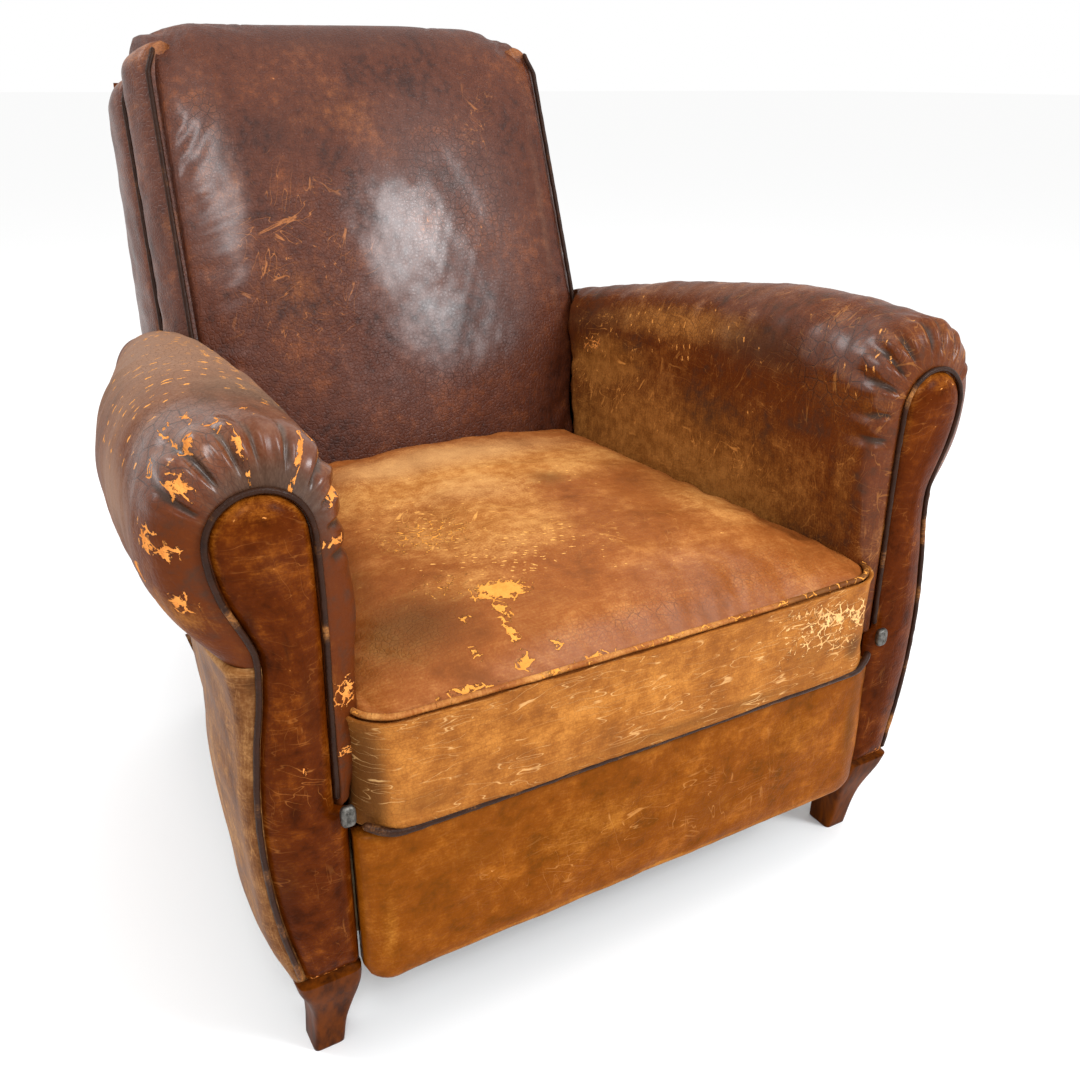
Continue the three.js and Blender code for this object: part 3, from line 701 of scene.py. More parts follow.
# a is the depth from the facing, b the run over the roll from the seat: the seat's edge is 0, the crest about 345
armWearLightAndShade = {
    "armPadLeft": {
        "rub": (0.0, [(360, 560, 300, 40, 0.7), (300, 150, 260, 60, 0.5), (22, 300, 18, 26, 0.4), (40, 560, 40, 24, 0.6)]),
        "dark": (0.0, [(105, 345, 42, 55, 1.0), (4, 350, 5, 130, 0.9), (60, 250, 40, 40, 0.4)]),
        "dust": (0.0, [(330, 370, 290, 130, 1.1), (160, 420, 90, 90, 0.7), (130, 500, 90, 50, 0.8)]),
        "bare": (0.0, [
            (16, 452, 8, 12, 0.85), (24, 425, 7, 10, 0.8), (44, 455, 6, 12, 0.7), (30, 402, 9, 9, 0.7), (13, 392, 12, 3, 0.85),
            (46, 372, 8, 4, 0.7), (12, 338, 13, 4, 0.85), (30, 325, 7, 6, 0.75), (18, 286, 12, 7, 0.85), (28, 500, 10, 12, 0.85),
            (58, 536, 12, 10, 0.85), (14, 545, 7, 10, 0.8), (9, 250, 8, 4, 0.8), (60, 425, 4, 12, 0.7), (8, 120, 4, 14, 0.95),
            (14, 505, 6, 9, 0.85), (40, 430, 26, 3, 0.7), (50, 410, 22, 3, 0.65), (70, 350, 6, 4, 0.7), (8, 60, 5, 10, 0.8),
        ]),
        "crack": (0.25, [(48, 430, 50, 60, 1.15), (250, 370, 200, 120, 0.6), (90, 330, 60, 60, 0.7)]),
        "fleck": (0.06, [(220, 310, 150, 80, 1.15), (170, 420, 120, 60, 0.6), (420, 380, 200, 90, 0.5), (60, 470, 50, 60, 0.4)]),
        "scratch": (0.15, [(300, 330, 260, 90, 0.6)]),
        "shine": (0.05, [(46, 425, 46, 60, 1.4), (24, 320, 30, 90, 1.0)]),
    },
    "armPadRight": {
        # partly wear, partly painted light: the even rub and the broad rub dab low on the inner face lighten the face
        # that the light from the left falls on
        "rub": (0.2, [(330, 300, 170, 26, 0.75), (330, 120, 300, 110, 0.95), (440, 235, 90, 45, 1.0), (40, 160, 24, 90, 0.5)]),
        # painted shade: the two dark dabs darken the top of the arm along its length, on the inner side of the crest
        "dark": (0.1, [(180, 290, 120, 40, 0.6), (480, 300, 120, 40, 0.5)]),
        "dust": (0.0, [(330, 355, 300, 34, 0.4)]),
        "bare": (0.0, [(470, 262, 26, 14, 0.62)]),
        "crack": (0.4, [(80, 300, 90, 80, 1.1), (330, 300, 200, 50, 0.7)]),
        "fleck": (0.1, [(330, 290, 200, 50, 0.35), (40, 330, 40, 60, 0.4)]),
        "scratch": (0.4, [(440, 235, 80, 70, 1.4), (250, 150, 200, 60, 0.7)]),
        "shine": (0.4, [(70, 300, 60, 60, 1.3), (200, 330, 200, 40, 0.6)]),
    },
}

# ---- the front of the arm: facing board, its cord, and the leather panel outside


def facingLine(count):
    turns = np.radians(np.arange(168, -1, -12))
    head = np.stack([headCentre[0] + 38 * np.cos(turns), headCentre[1] + 38 * np.sin(turns)], 1)
    inner = np.array([[293, 288], [291.5, 370], [290, 440], [290.5, 500]])
    return lineThrough(np.concatenate([inner, head, outerLine]), count)


def makeFacing(side):
    # rows go up from the leg to the top of the head, columns across between the two runs of the cord
    turn = np.linspace(0, np.pi / 2, 26)[1:]
    z = np.concatenate([np.linspace(114, 276, 34), [281, 286], np.linspace(292, 518, 52), 518 + 35.7 * np.sin(turn)])[:, None]
    arc = np.sqrt(np.clip(35.7**2 - (z - 518) ** 2, 0, None))
    left = np.where(z < 279, 285.5, np.where(z < 518, np.interp(z, [286, 370, 440, 500, 518], [294.8, 293.6, 292.3, 292.8, 293.7]), headCentre[0] - arc))
    right = np.where(z < 518, facingOuter(z) - 2.5, headCentre[0] + arc)
    w = np.sin(np.linspace(-np.pi / 2, np.pi / 2, 27))[None, :]
    x = mix(left, right, (w + 1) / 2)
    reach = np.where(z < 518, np.minimum(x - left, right - x), 35.7 - np.hypot(x - headCentre[0], z - headCentre[1]))
    reach = np.clip(np.minimum(reach, z - 114), 0, None)
    puff = 12 * (1 - np.exp(-reach / 5.5)) + 2.5 * smoothstep(reach, 6, 34) + 0.5 * lumps(x, z, 5 + side, 55)
    outer = toMetres(x, 6 - puff, z + 0 * w)
    inner = toMetres(x, 8 + 0 * x, z + 0 * w)
    name = "facing" + ("Right" if side > 0 else "Left")
    look = paintOver(facingWear[name], x + 0 * z, z + 0 * x)
    # partly wear, partly painted highlight: the rub paint lightens a ring just inside the cord round the top of the
    # head
    look["rub"] = np.maximum(look["rub"], 0.55 * np.exp(-(((reach - 3) / 3) ** 2)) * smoothstep(z, 440, 520))
    return shell(name, mirrored(outer, side), mirrored(inner, side), look)


# a is across from the chair's middle, b the height
facingWear = {
    "facingLeft": {
        "rub": (0.2, [(330, 545, 24, 12, 0.6), (300, 330, 8, 60, 0.35), (330, 500, 20, 26, 0.35)]),
        "dark": (0.15, [(345, 460, 6, 26, 0.7), (322, 440, 3, 22, 0.7), (340, 220, 14, 60, 0.55), (300, 180, 10, 60, 0.5), (310, 390, 9, 60, 0.5)]),
        "fleck": (0.04, [(320, 540, 40, 16, 0.3)]), "scratch": (0.35, [(320, 300, 40, 120, 0.5)]), "crack": (0.2, []),
        "bare": (0.0, [(318, 118, 26, 4, 0.7), (318, 330, 3, 3, 0.8)]), "shine": (0.5, [(325, 500, 24, 30, 0.8)]),
    },
    "facingRight": {
        "rub": (0.08, [(330, 545, 24, 12, 0.6), (335, 170, 30, 40, 0.4), (340, 300, 10, 60, 0.3)]),
        "bare": (0.0, [(335, 120, 26, 9, 0.9), (350, 160, 6, 30, 0.75)]),
        "dark": (0.25, [(310, 220, 12, 60, 0.6)]),
        "fleck": (0.05, [(330, 540, 40, 30, 0.3)]), "scratch": (0.35, []), "crack": (0.2, []), "shine": (0.5, []),
    },
}


def makeFacingCord(side):
    line = facingLine(300)
    run = arcLength(line)
    path = np.stack([line[:, 0] * side, np.full(300, 2.0), line[:, 1]], 1)
    worn = {"rub": (smoothstep(lumps(run, 0 * run, 31 + side, 70), 0.1, 1) * 0.5)[:, None]}
    return cordMesh("facingCord" + ("Right" if side > 0 else "Left"), path, 2.5, (0, 1, 0), worn, seed=3 + side)


def makeOuterPanel(side):
    # rows run back from the facing's cord, columns down from the seam under the roll to the rail
    fold = [[352, 419], [358, 424.5], [365, 426], [368, 422.5], [366.5, 416]]
    face = [[363, 380], [365, 300], [363, 220], [356, 150], [344, 115]]
    line = np.concatenate([np.array(fold), lineThrough([[366.5, 416]] + face, 70)[1:]])
    turn = np.linspace(0, np.pi / 2, 9)[:, None]
    edge = facingOuter(line[:, 1]) + 1.8
    x = np.concatenate([mix(np.minimum(edge, line[:, 0])[None, :], line[None, :, 0], np.sin(turn)),
                        np.broadcast_to(line[:, 0], (110, len(line)))])
    d = np.concatenate([np.broadcast_to(4 + 15 * (1 - np.cos(turn)), (9, len(line))),
                        np.broadcast_to(np.linspace(22, 700, 110)[:, None], (110, len(line)))])
    z = np.broadcast_to(line[:, 1], d.shape)
    outer = toMetres(*armPoint(x, d, z))
    inner = outer - np.array([7, 0, 0]) * mm
    puff = 2.6 * lumps(d, z * 0.8, 40 + side, 190) + 1.0 * lumps(d * 0.5, z, 41 + side, 60)
    outer = pushed(outer, puff * smoothstep(d, 10, 50) * smoothstep(420 - z, 0, 40) * mm)
    name = "outerPanel" + ("Right" if side > 0 else "Left")
    look = paintOver(panelWear, d, z)
    return shell(name, mirrored(outer, side), mirrored(inner, side), look)


panelWear = {
    "rub": (0.42, [(200, 424, 600, 5, 1.2), (120, 250, 120, 90, 0.7)]),
    "scratch": (0.45, [(160, 250, 160, 120, 0.9)]), "fleck": (0.06, []), "crack": (0.2, []), "shine": (0.1, []),
}

# ---- the seat

seatSize = {"front": -19, "rear": 472, "halfFront": 274, "halfRear": 222, "corner": 0.13, "edge": 360}


def seatPlan(u, t, inset=0.0):  # u goes across from -1 to 1, t from the rear, 0, to the front, 1
    half = mix(seatSize["halfRear"], seatSize["halfFront"], t**0.9) - inset
    turn = np.clip((np.abs(u) - 1 + seatSize["corner"]) / seatSize["corner"], 0, 1)
    near = np.clip((t - 0.9) / 0.1, 0, 1)
    pull = 1 - np.sqrt(1 - turn**2 * 0.96)
    nose = seatSize["front"] + 5 + inset
    return u * half, mix(seatSize["rear"], nose, t) + 34 * pull * near - 5 * (1 - u * u) * near


def makeSeat():
    # rows run from the rear to the front, columns across; the crown is highest in the middle
    u = np.sin(np.linspace(-1, 1, 121) * np.pi / 2)[None, :] * 0.5 + np.linspace(-1, 1, 121)[None, :] * 0.5
    t = np.concatenate([np.linspace(0, 0.9, 88), 0.9 + 0.1 * np.sin(np.linspace(0, 1, 15)[1:] * np.pi / 2)])[:, None]
    x, d = seatPlan(u, t, 3.0)
    forward = (1 - t) * (seatSize["rear"] - seatSize["front"])
    crown = 4 + 26 * (1 - np.exp(-forward / 48)) * np.sqrt(1 - np.abs(u) ** 8) + 12 * (1 - u * u) * smoothstep(forward, 0, 180)
    dent = 5 * spots(x, d, [(-70, 210, 120, 120, 1), (90, 190, 110, 120, 0.9), (0, 60, 160, 60, 0.4)])
    sag = 1.6 * lumps(x, d, 60, 120) + 0.9 * lumps(x * 0.7, d, 61, 45) + 0.35 * lumps(x, d, 62, 17)
    z = seatSize["edge"] - 5.6 + crown - dent + sag * smoothstep(crown, 5, 22)
    outer = toMetres(x, d, z)
    inner = toMetres(x * 0.985, mix(225, d, 0.985), 292 + 0 * z)
    return shell("seatCushion", outer, inner, paintOver(seatWear, x, d + 0 * x), rim=4)


# a is across from the chair's middle, left negative, b the depth
seatWear = {
    "rub": (0.3, [(0, 330, 260, 70, 0.9), (-60, 220, 120, 110, 0.75), (-130, 110, 60, 40, 0.6), (190, 180, 70, 120, 0.6),
                  (-210, 60, 60, 60, 0.5)]),
    "dark": (0.0, [(-190, 70, 70, 60, 0.75), (-100, 30, 60, 50, 0.35), (-60, -20, 200, 14, 0.45), (-215, 220, 34, 200, 0.5),
                   (61, 285, 30, 36, 0.6), (-80, 60, 70, 30, 0.35)]),
    "dust": (0.0, [(-20, 400, 200, 50, 0.7), (-30, 300, 90, 50, 0.5), (-60, 150, 60, 60, 0.25)]),
    "bare": (0.0, [(-103, 84, 27, 16, 1.2), (-116, 58, 7, 14, 0.95), (-121, 30, 5, 20, 0.95), (-124, 0, 9, 8, 1.0),
                   (-160, 20, 4, 12, 0.8), (-88, 6, 6, 7, 0.8), (-60, -12, 24, 4, 0.8), (-180, -8, 26, 4, 0.8), (-150, 60, 8, 8, 0.6),
                   (-115, 215, 70, 50, 0.4), (-150, 110, 50, 40, 0.3)]),
    "crack": (0.2, [(-200, 60, 90, 60, 0.6), (110, 20, 160, 40, 0.7), (20, 10, 160, 24, 0.8)]),
    "fleck": (0.0, [(-90, 230, 80, 70, 0.5), (-60, 140, 110, 60, 0.6), (40, 300, 160, 90, 0.25), (20, 60, 110, 30, 0.2)]),
    "scratch": (0.3, [(-100, 240, 90, 90, 1.0), (60, 150, 160, 120, 0.5)]),
    "shine": (0.15, [(20, -4, 190, 26, 1.2), (100, 40, 110, 50, 0.8)]),
}


def seatBorder(out, count, z):  # the line the seat's border follows, from the rear right round to the rear left
    t = np.concatenate([np.linspace(0, 0.9, 40), 0.9 + 0.1 * np.sin(np.linspace(0, 1, 16)[1:] * np.pi / 2)])
    x, d = seatPlan(np.ones(len(t)), t)
    u = np.concatenate([1 - 0.13 * (1 - np.cos(np.linspace(0, 1, 14)[1:] * np.pi / 2)), np.linspace(0.85, 0, 30)])
    frontX, frontD = seatPlan(u, np.ones(len(u)))
    p = np.stack([np.concatenate([x, frontX]), np.concatenate([d, frontD])], 1)
    p = np.concatenate([p, (p * [-1, 1])[::-1][1:]])
    run = arcLength(p)
    even = np.linspace(0, run[-1], count)
    p = np.stack([np.interp(even, run, p[:, k]) for k in (0, 1)], 1)
    along = np.gradient(p, axis=0)
    along /= np.linalg.norm(along, axis=1, keepdims=True)
    p = p + np.stack([-along[:, 1], along[:, 0]], 1) * -out
    return np.stack([p[:, 0], p[:, 1], np.full(count, float(z))], 1)


def makeBand():
    # columns follow the border, rows go up from the welt to the piping
    line = seatBorder(0, 330, 0)
    z = np.linspace(258, 357, 24)[:, None]
    w = (z - 258) / 99
    puff = 3.4 * np.sqrt(np.clip(4 * w * (1 - w), 0, 1)) - 3 + 0.9 * lumps(line[None, :, 0], z * 1.2, 70, 70)
    puff = puff + 0.4 * lumps(line[None, :, 0], z, 71, 20)
    along = np.gradient(line[:, :2], axis=0)
    along /= np.linalg.norm(along, axis=1, keepdims=True)
    x = line[None, :, 0] + along[None, :, 1] * puff
    d = line[None, :, 1] - along[None, :, 0] * puff
    outer = toMetres(x, d, z)
    inner = toMetres(x - along[None, :, 1] * 4, d + along[None, :, 0] * 4, z)
    return shell("seatBand", outer, inner, paintOver(bandWearAndShade, x, z + 0 * x))


bandWearAndShade = {
    "rub": (0.55, [(-60, 310, 200, 30, 0.9)]),
    # painted shade: the first dark dab, a full-height strip at the left corner, darkens the band where it turns back
    # between seat and arm
    "dark": (0.0, [(-268, 300, 14, 70, 1.1), (-225, 275, 40, 20, 0.5), (60, 266, 240, 9, 0.6), (245, 285, 16, 18, 0.9), (190, 290, 70, 30, 0.45)]),
    "bare": (0.0, [(205, 330, 40, 16, 0.7), (245, 320, 16, 20, 0.7), (170, 345, 34, 6, 0.6), (225, 296, 26, 12, 0.55), (190, 310, 60, 26, 0.42)]),
    "fleck": (0.05, [(190, 320, 80, 30, 0.4)]), "scratch": (0.6, [(190, 320, 90, 40, 1.2)]), "crack": (0.4, []), "shine": (0.0, []),
}


def makeTopPiping():
    line = seatBorder(0.8, 420, seatSize["edge"] - 0.4)
    worn = {"rub": (0.5 + 0.3 * lumps(line[:, 0], 0 * line[:, 0], 80, 60))[:, None],
            "dark": (0.9 * smoothstep(line[:, 0], 90, 190))[:, None], "bare": (0.3 + 0.25 * lumps(line[:, 0], 0 * line[:, 0], 83, 40))[:, None]}
    return cordMesh("seatPiping", line, 2.8, (0, 0, 1), worn, seed=9)


def makeWelt():
    line = seatBorder(4.6, 420, 262.0)
    turn = smoothstep(np.abs(line[:, 0]), 236, 276) * (line[:, 1] < 12)
    line[:, 2] += 9 * turn
    return cordMesh("seatWelt", line, 3.8, (0, 0, 1), {"rub": (0.1 + 0.25 * lumps(line[:, 0], 0 * line[:, 0], 81, 50))[:, None]}, seed=5)


def makeApronWelt():
    x = np.linspace(-279, 279, 200)
    side = np.clip((np.abs(x) / 278 - 0.88) / 0.12, 0, 1)
    line = np.stack([x, -19.0 + 10 * side**2, 254.2 + 11 * side**2], 1)
    return cordMesh("apronWelt", line, 3.9, (0, 0, 1), {"rub": (0.1 + 0.25 * lumps(x, 0 * x, 82, 50))[:, None]}, seed=6)


def makeApron():
    # columns across, rows up; the lower corners are rounded, the left one the more
    u = np.linspace(-1, 1, 130)[None, :]
    w = np.concatenate([np.linspace(-1, -0.72, 10), np.linspace(-0.68, 1, 26)])[:, None]
    side = np.clip((np.abs(u) - 0.9) / 0.1, 0, 1)
    low = np.clip((-w - 0.72) / 0.28, 0, 1)
    lift = np.where(u < 0, 22, 9) * (1 - np.sqrt(1 - side**2 * 0.98)) * low
    z = mix(92, 251, (w + 1) / 2) + lift
    x = u * 284.2 + 0 * z
    d = -13 + 7 * side**2 + 3.5 * low**2 - 4 * (1 - w * w) * (1 - u * u) + 0.9 * lumps(x, z, 90, 110) + 0.35 * lumps(x, z, 91, 30)
    outer = toMetres(x, d, z)
    inner = toMetres(x * 0.995, 10 + 0 * d, z + 1)
    return shell("apron", outer, inner, paintOver(apronWearAndShade, x, z), rim=4)


apronWearAndShade = {
    "rub": (0.25, [(0, 97, 300, 5, 0.9), (-60, 180, 120, 50, 0.45), (180, 200, 70, 50, 0.4), (-262, 150, 10, 60, 0.5)]),
    # painted shade: the last dark dab is a line right under the welt, across the whole width
    "dark": (0.0, [(80, 150, 60, 40, 0.4), (-180, 200, 50, 30, 0.4), (262, 180, 12, 60, 0.7), (0, 246, 300, 7, 0.6)]),
    "bare": (0.0, [(0, 92, 280, 3, 0.55)]),
    "fleck": (0.0, []), "scratch": (0.3, [(0, 160, 260, 60, 0.6)]), "crack": (0.1, []),
    "shine": (0.4, []),
}

# ---- the back


def makeBackPad():
    # columns follow the section up the front, over the top and down behind; rows go across
    section = lineThrough([[2, -92], [2, 20], [2, 120], [2, 330], [4, 440], [12, 486], [34, 515], [66, 526], [98, 520],
                           [114, 500], [118, 470]], 132)
    lining = lineThrough([[46, -90], [46, 20], [46, 120], [46, 330], [50, 420], [56, 455], [66, 468], [76, 470],
                          [86, 468], [94, 460], [98, 450]], 132)
    run = arcLength(section)[None, :]
    u = np.linspace(-1, 1, 118)[:, None]
    n, h = section[None, :, 0], section[None, :, 1]
    crown = 26 * (1 - u * u) * smoothstep(h, -160, 120) * (1 - smoothstep(h, 300, 520))
    crown = np.where(run < 600, crown, crown * 0)
    half = backHalf(h) - 12.5 - 28 * (1 - smoothstep(h, 0, 130))
    x = u * half + 11.5 - 0.18 * np.clip(n - 5, 0, 60) * (1 - u) / 2
    drop = 15 * smoothstep(np.abs(u), 0.7, 1.0) * smoothstep(h, 380, 500) - 5 * lumps(x, 0 * h, 100, 260) * smoothstep(h, 420, 520)
    face = smoothstep(520 - h, 0, 120)
    dent = 4 * spots(x, h, [(0, 130, 130, 70, 1)])
    sag = 0.9 * lumps(x, h, 101, 170) + 0.45 * lumps(x, h * 0.6, 102, 60) + 0.14 * lumps(x, h, 103, 18)
    outer = toMetres(*backPoint(x, n - crown + (dent + sag) * face, h - drop))
    inner = toMetres(*backPoint(x * 0.97, lining[None, :, 0] + 0 * u, lining[None, :, 1] - drop * 0.6))
    return shell("backPad", outer, inner, paintOver(backWearAndShade, x + 0 * h, h + 0 * x + 200 * smoothstep(run, 640, 760)), rim=9)


# a is across, b the height up the back's face
backWearAndShade = {
    "rub": (0.0, [(-30, 400, 80, 50, 0.3), (-175, 330, 40, 120, 0.3), (-120, 190, 60, 50, 0.45), (-200, 60, 40, 40, 0.35)]),
    # painted shade: the last dark dab darkens the whole width of the face near its top; the other dark dabs are patches
    # in the leather
    "dark": (0.12, [(-120, 380, 50, 40, 0.5), (140, 120, 110, 90, 0.5), (-200, 200, 6, 6, 0.8), (0, 500, 300, 40, 0.5)]),
    "dust": (0.0, [(0, 548, 300, 20, 0.5), (232, 280, 12, 220, 0.4), (40, 720, 300, 70, 0.7)]),
    "crack": (0.55, [(100, 300, 130, 140, 1.0), (-190, 380, 50, 80, 1.0), (60, 80, 160, 60, 0.8)]),
    "fleck": (0.0, [(-130, 210, 60, 60, 0.3), (120, 260, 90, 90, 0.1)]),
    "scratch": (0.25, [(-110, 230, 120, 160, 0.75), (160, 380, 50, 90, 0.6)]),
    "shine": (0.3, [(-195, 330, 40, 130, 1.3), (80, 250, 120, 170, 1.4), (0, 60, 200, 80, 0.5)]),
}


def makeSideRoll(side, kind, near, far, top):
    # columns go round from the front of the roll to its rear, rows go up; the top end is rounded over
    h = np.concatenate([np.linspace(100, top - 26, 80), top - 26 + 26 * np.sin(np.linspace(0, 1, 13)[1:] * np.pi / 2)])[:, None]
    w = np.linspace(-1, 1, 25)[None, :]
    bulge = np.sqrt(1 - np.abs(w) ** 2.2)
    over = np.clip((h - top + 26) / 26, 0, 1)
    shrink = 1 - np.sqrt(1 - over**2 * 0.96)
    x, d, z = backPoint(0 * h, 0 * h, h)
    rear = (rearPlane(z) - d) / math.cos(backSize["rake"]) * 0.93 - 2
    n = mix(near, far if far else rear, (w + 1) / 2) + 0 * h
    out = backEdge(side, n, h) + mix(-3, 8, bulge) - 22 * shrink + 0.7 * lumps(h, n * 1.4, 110 + side * near, 46)
    x, d, z = backPoint(out * side, n, h + 0 * w)
    outer = toMetres(x, d, z)
    x, d, z = backPoint((backEdge(side, n, h) - 30) * side, mix(near + 4, (far if far else rear) - 4, (w + 1) / 2), h - 4 * shrink + 0 * w)
    inner = toMetres(x, d, z)
    look = {"rub": 0.05 + 0.6 * np.exp(-(((h - top) / 18) ** 2)) + 0.3 * lumps(h, n, 120 + side, 80),
            "crack": 0.3, "fleck": 0.0, "scratch": 0.3, "shine": 0.55, "dust": 0.0}
    look = {kind: np.broadcast_to(value, n.shape) for kind, value in look.items()}
    return shell("sideRoll" + kind + ("Right" if side > 0 else "Left"), outer, inner, look)


def makeBackCord(side, kind, n, out, top):
    h = np.linspace(96, top, 150)
    x, d, z = backPoint((backEdge(side, n, h) + out - 9 * smoothstep(h, top - 30, top)) * side, n + 0 * h, h)
    name = "backCord" + kind + ("Right" if side > 0 else "Left")
    return cordMesh(name, np.stack([x, d, z], 1), 2.9, (0, 1, 0), {"rub": 0.12}, seed=int(n))


def makeOutsideBack():
    z = np.linspace(115, 800, 90)[:, None]
    u = np.linspace(-1, 1, 70)[None, :]
    half = mix(277, 262, smoothstep(z, 430, 540)) - 8 * smoothstep(z, 740, 800)
    d = rearPlane(z) + 3 * (1 - u**4) * np.sqrt(np.clip((z - 115) / 60, 0, 1)) + 1.2 * lumps(u * half, z, 130, 200) - 3
    outer = toMetres(u * half, d, z + 0 * u)
    inner = toMetres(u * half, rearPlane(z) - 7 + 0 * u, z + 0 * u)
    wear = {"rub": (0.3, [(0, 790, 300, 30, 0.7)]), "scratch": (0.3, []), "fleck": (0.0, []), "crack": (0.2, []), "shine": (0.1, [])}
    return shell("outsideBack", outer, inner, paintOver(wear, u * half, z + 0 * u), rim=3)


def makeBottomCloth():
    # a thin sheet tacked under the rails, narrower behind
    t = np.linspace(0, 1, 40)[:, None]
    u = np.linspace(-1, 1, 40)[None, :]
    half = mix(280, 256, t)
    x, d = u * half, mix(34, 586, t) + 0 * u
    z = 118.4 - 3.0 * (1 - u**2) * np.sin(np.pi * t)
    outer = toMetres(x, d, z)
    return shell("bottomCloth", outer, outer + np.array([0, 0, 0.8]) * mm)


# ---- legs


def post(name, side, z, low, high, front, rear):
    # a block of rounded rectangles, one at each height; low and high are its two sides across
    turn = np.radians(np.linspace(0, 360, 48, endpoint=False))[None, :]
    bulge = lambda wave: np.sign(wave) * np.abs(wave) ** 0.28
    low, high, front, rear, z = (np.asarray(line)[:, None] for line in (low, high, front, rear, z))
    x = (low + high) / 2 + (high - low) / 2 * bulge(np.cos(turn))
    d = (front + rear) / 2 + (rear - front) / 2 * bulge(np.sin(turn))
    grid = toMetres(x * side, d, z + 0 * x)
    ends = grid.mean(1, keepdims=True)[[0, -1]]
    ends = np.broadcast_to(ends, (2, 48, 3))
    return gridMesh(name + ("Right" if side > 0 else "Left"), np.concatenate([ends[:1], grid, ends[1:]]), wrap=True)


def makeFrontPost(side):
    # a sabre leg, and above it the stump that stands inside the arm
    z = np.concatenate([np.linspace(0.2, 113, 44), np.linspace(115, 119, 3), np.linspace(130, 502, 30)])
    leg = z < 114
    low = np.where(leg, valueAlong([[0, 298], [35, 295.5], [60, 290], [80, 286], [100, 284], [113, 284.5]], z),
                   np.interp(z, [113, 230, 262, 502], [292, 293, 303, 304]))
    high = np.where(leg, valueAlong([[0, 327], [35, 326], [60, 328], [80, 333], [100, 340], [112, 342]], z),
                    np.interp(z, [113, 200, 300, 420, 502], [332, 336, 336, 333, 336]))
    front = np.where(leg, valueAlong([[0, 28], [60, 13], [95, 0], [113, -5]], z), 17)
    rear = np.where(leg, valueAlong([[0, 60], [60, 58], [112, 62]], z), 62)
    return post("frontPost", side, z, low, high, front, rear)


def makeRearPost(side):
    # the leg sweeps back to the floor and the upright leans back to the top rail
    z = np.linspace(0.2, 812, 120)
    middle = 218 + (815 - z) * 0.03
    front = np.interp(z, [0, 112, 205, 300, 400, 812], [638, 592.5, 592.5, 578.5, 566.5, 717])
    rear = np.interp(z, [0, 112, 205, 300, 400, 805, 812], [672, 651.5, 647.5, 631.5, 617.5, 749, 749])
    return post("rearPost", side, z, middle - 18, middle + 18, front, rear)


def makeStud(side):
    # a folded tab of metal over the end of the welt: a rounded cushion shape with a slot pressed into it
    turn = np.linspace(0, 2 * np.pi, 40, endpoint=False)[None, :]
    rise = np.linspace(0, np.pi, 24)[:, None]
    x = 290 + 6.5 * np.sign(np.cos(turn)) * np.abs(np.cos(turn)) ** 0.6 * np.sin(rise) ** 0.5
    z = 281 + 10 * np.sign(np.sin(turn)) * np.abs(np.sin(turn)) ** 0.6 * np.sin(rise) ** 0.5
    d = -12.5 - 4.2 * np.cos(rise) + 0 * turn
    slot = np.exp(-(((x - 290.5) / 1.4) ** 2)) * smoothstep(7 - np.abs(z - 281), 0, 2)
    d = d + 2.6 * slot * (rise < np.pi / 2)
    return gridMesh("stud" + ("Right" if side > 0 else "Left"), mirrored(toMetres(x, d, z), side), wrap=True)

# ---- leathers and other stuffs

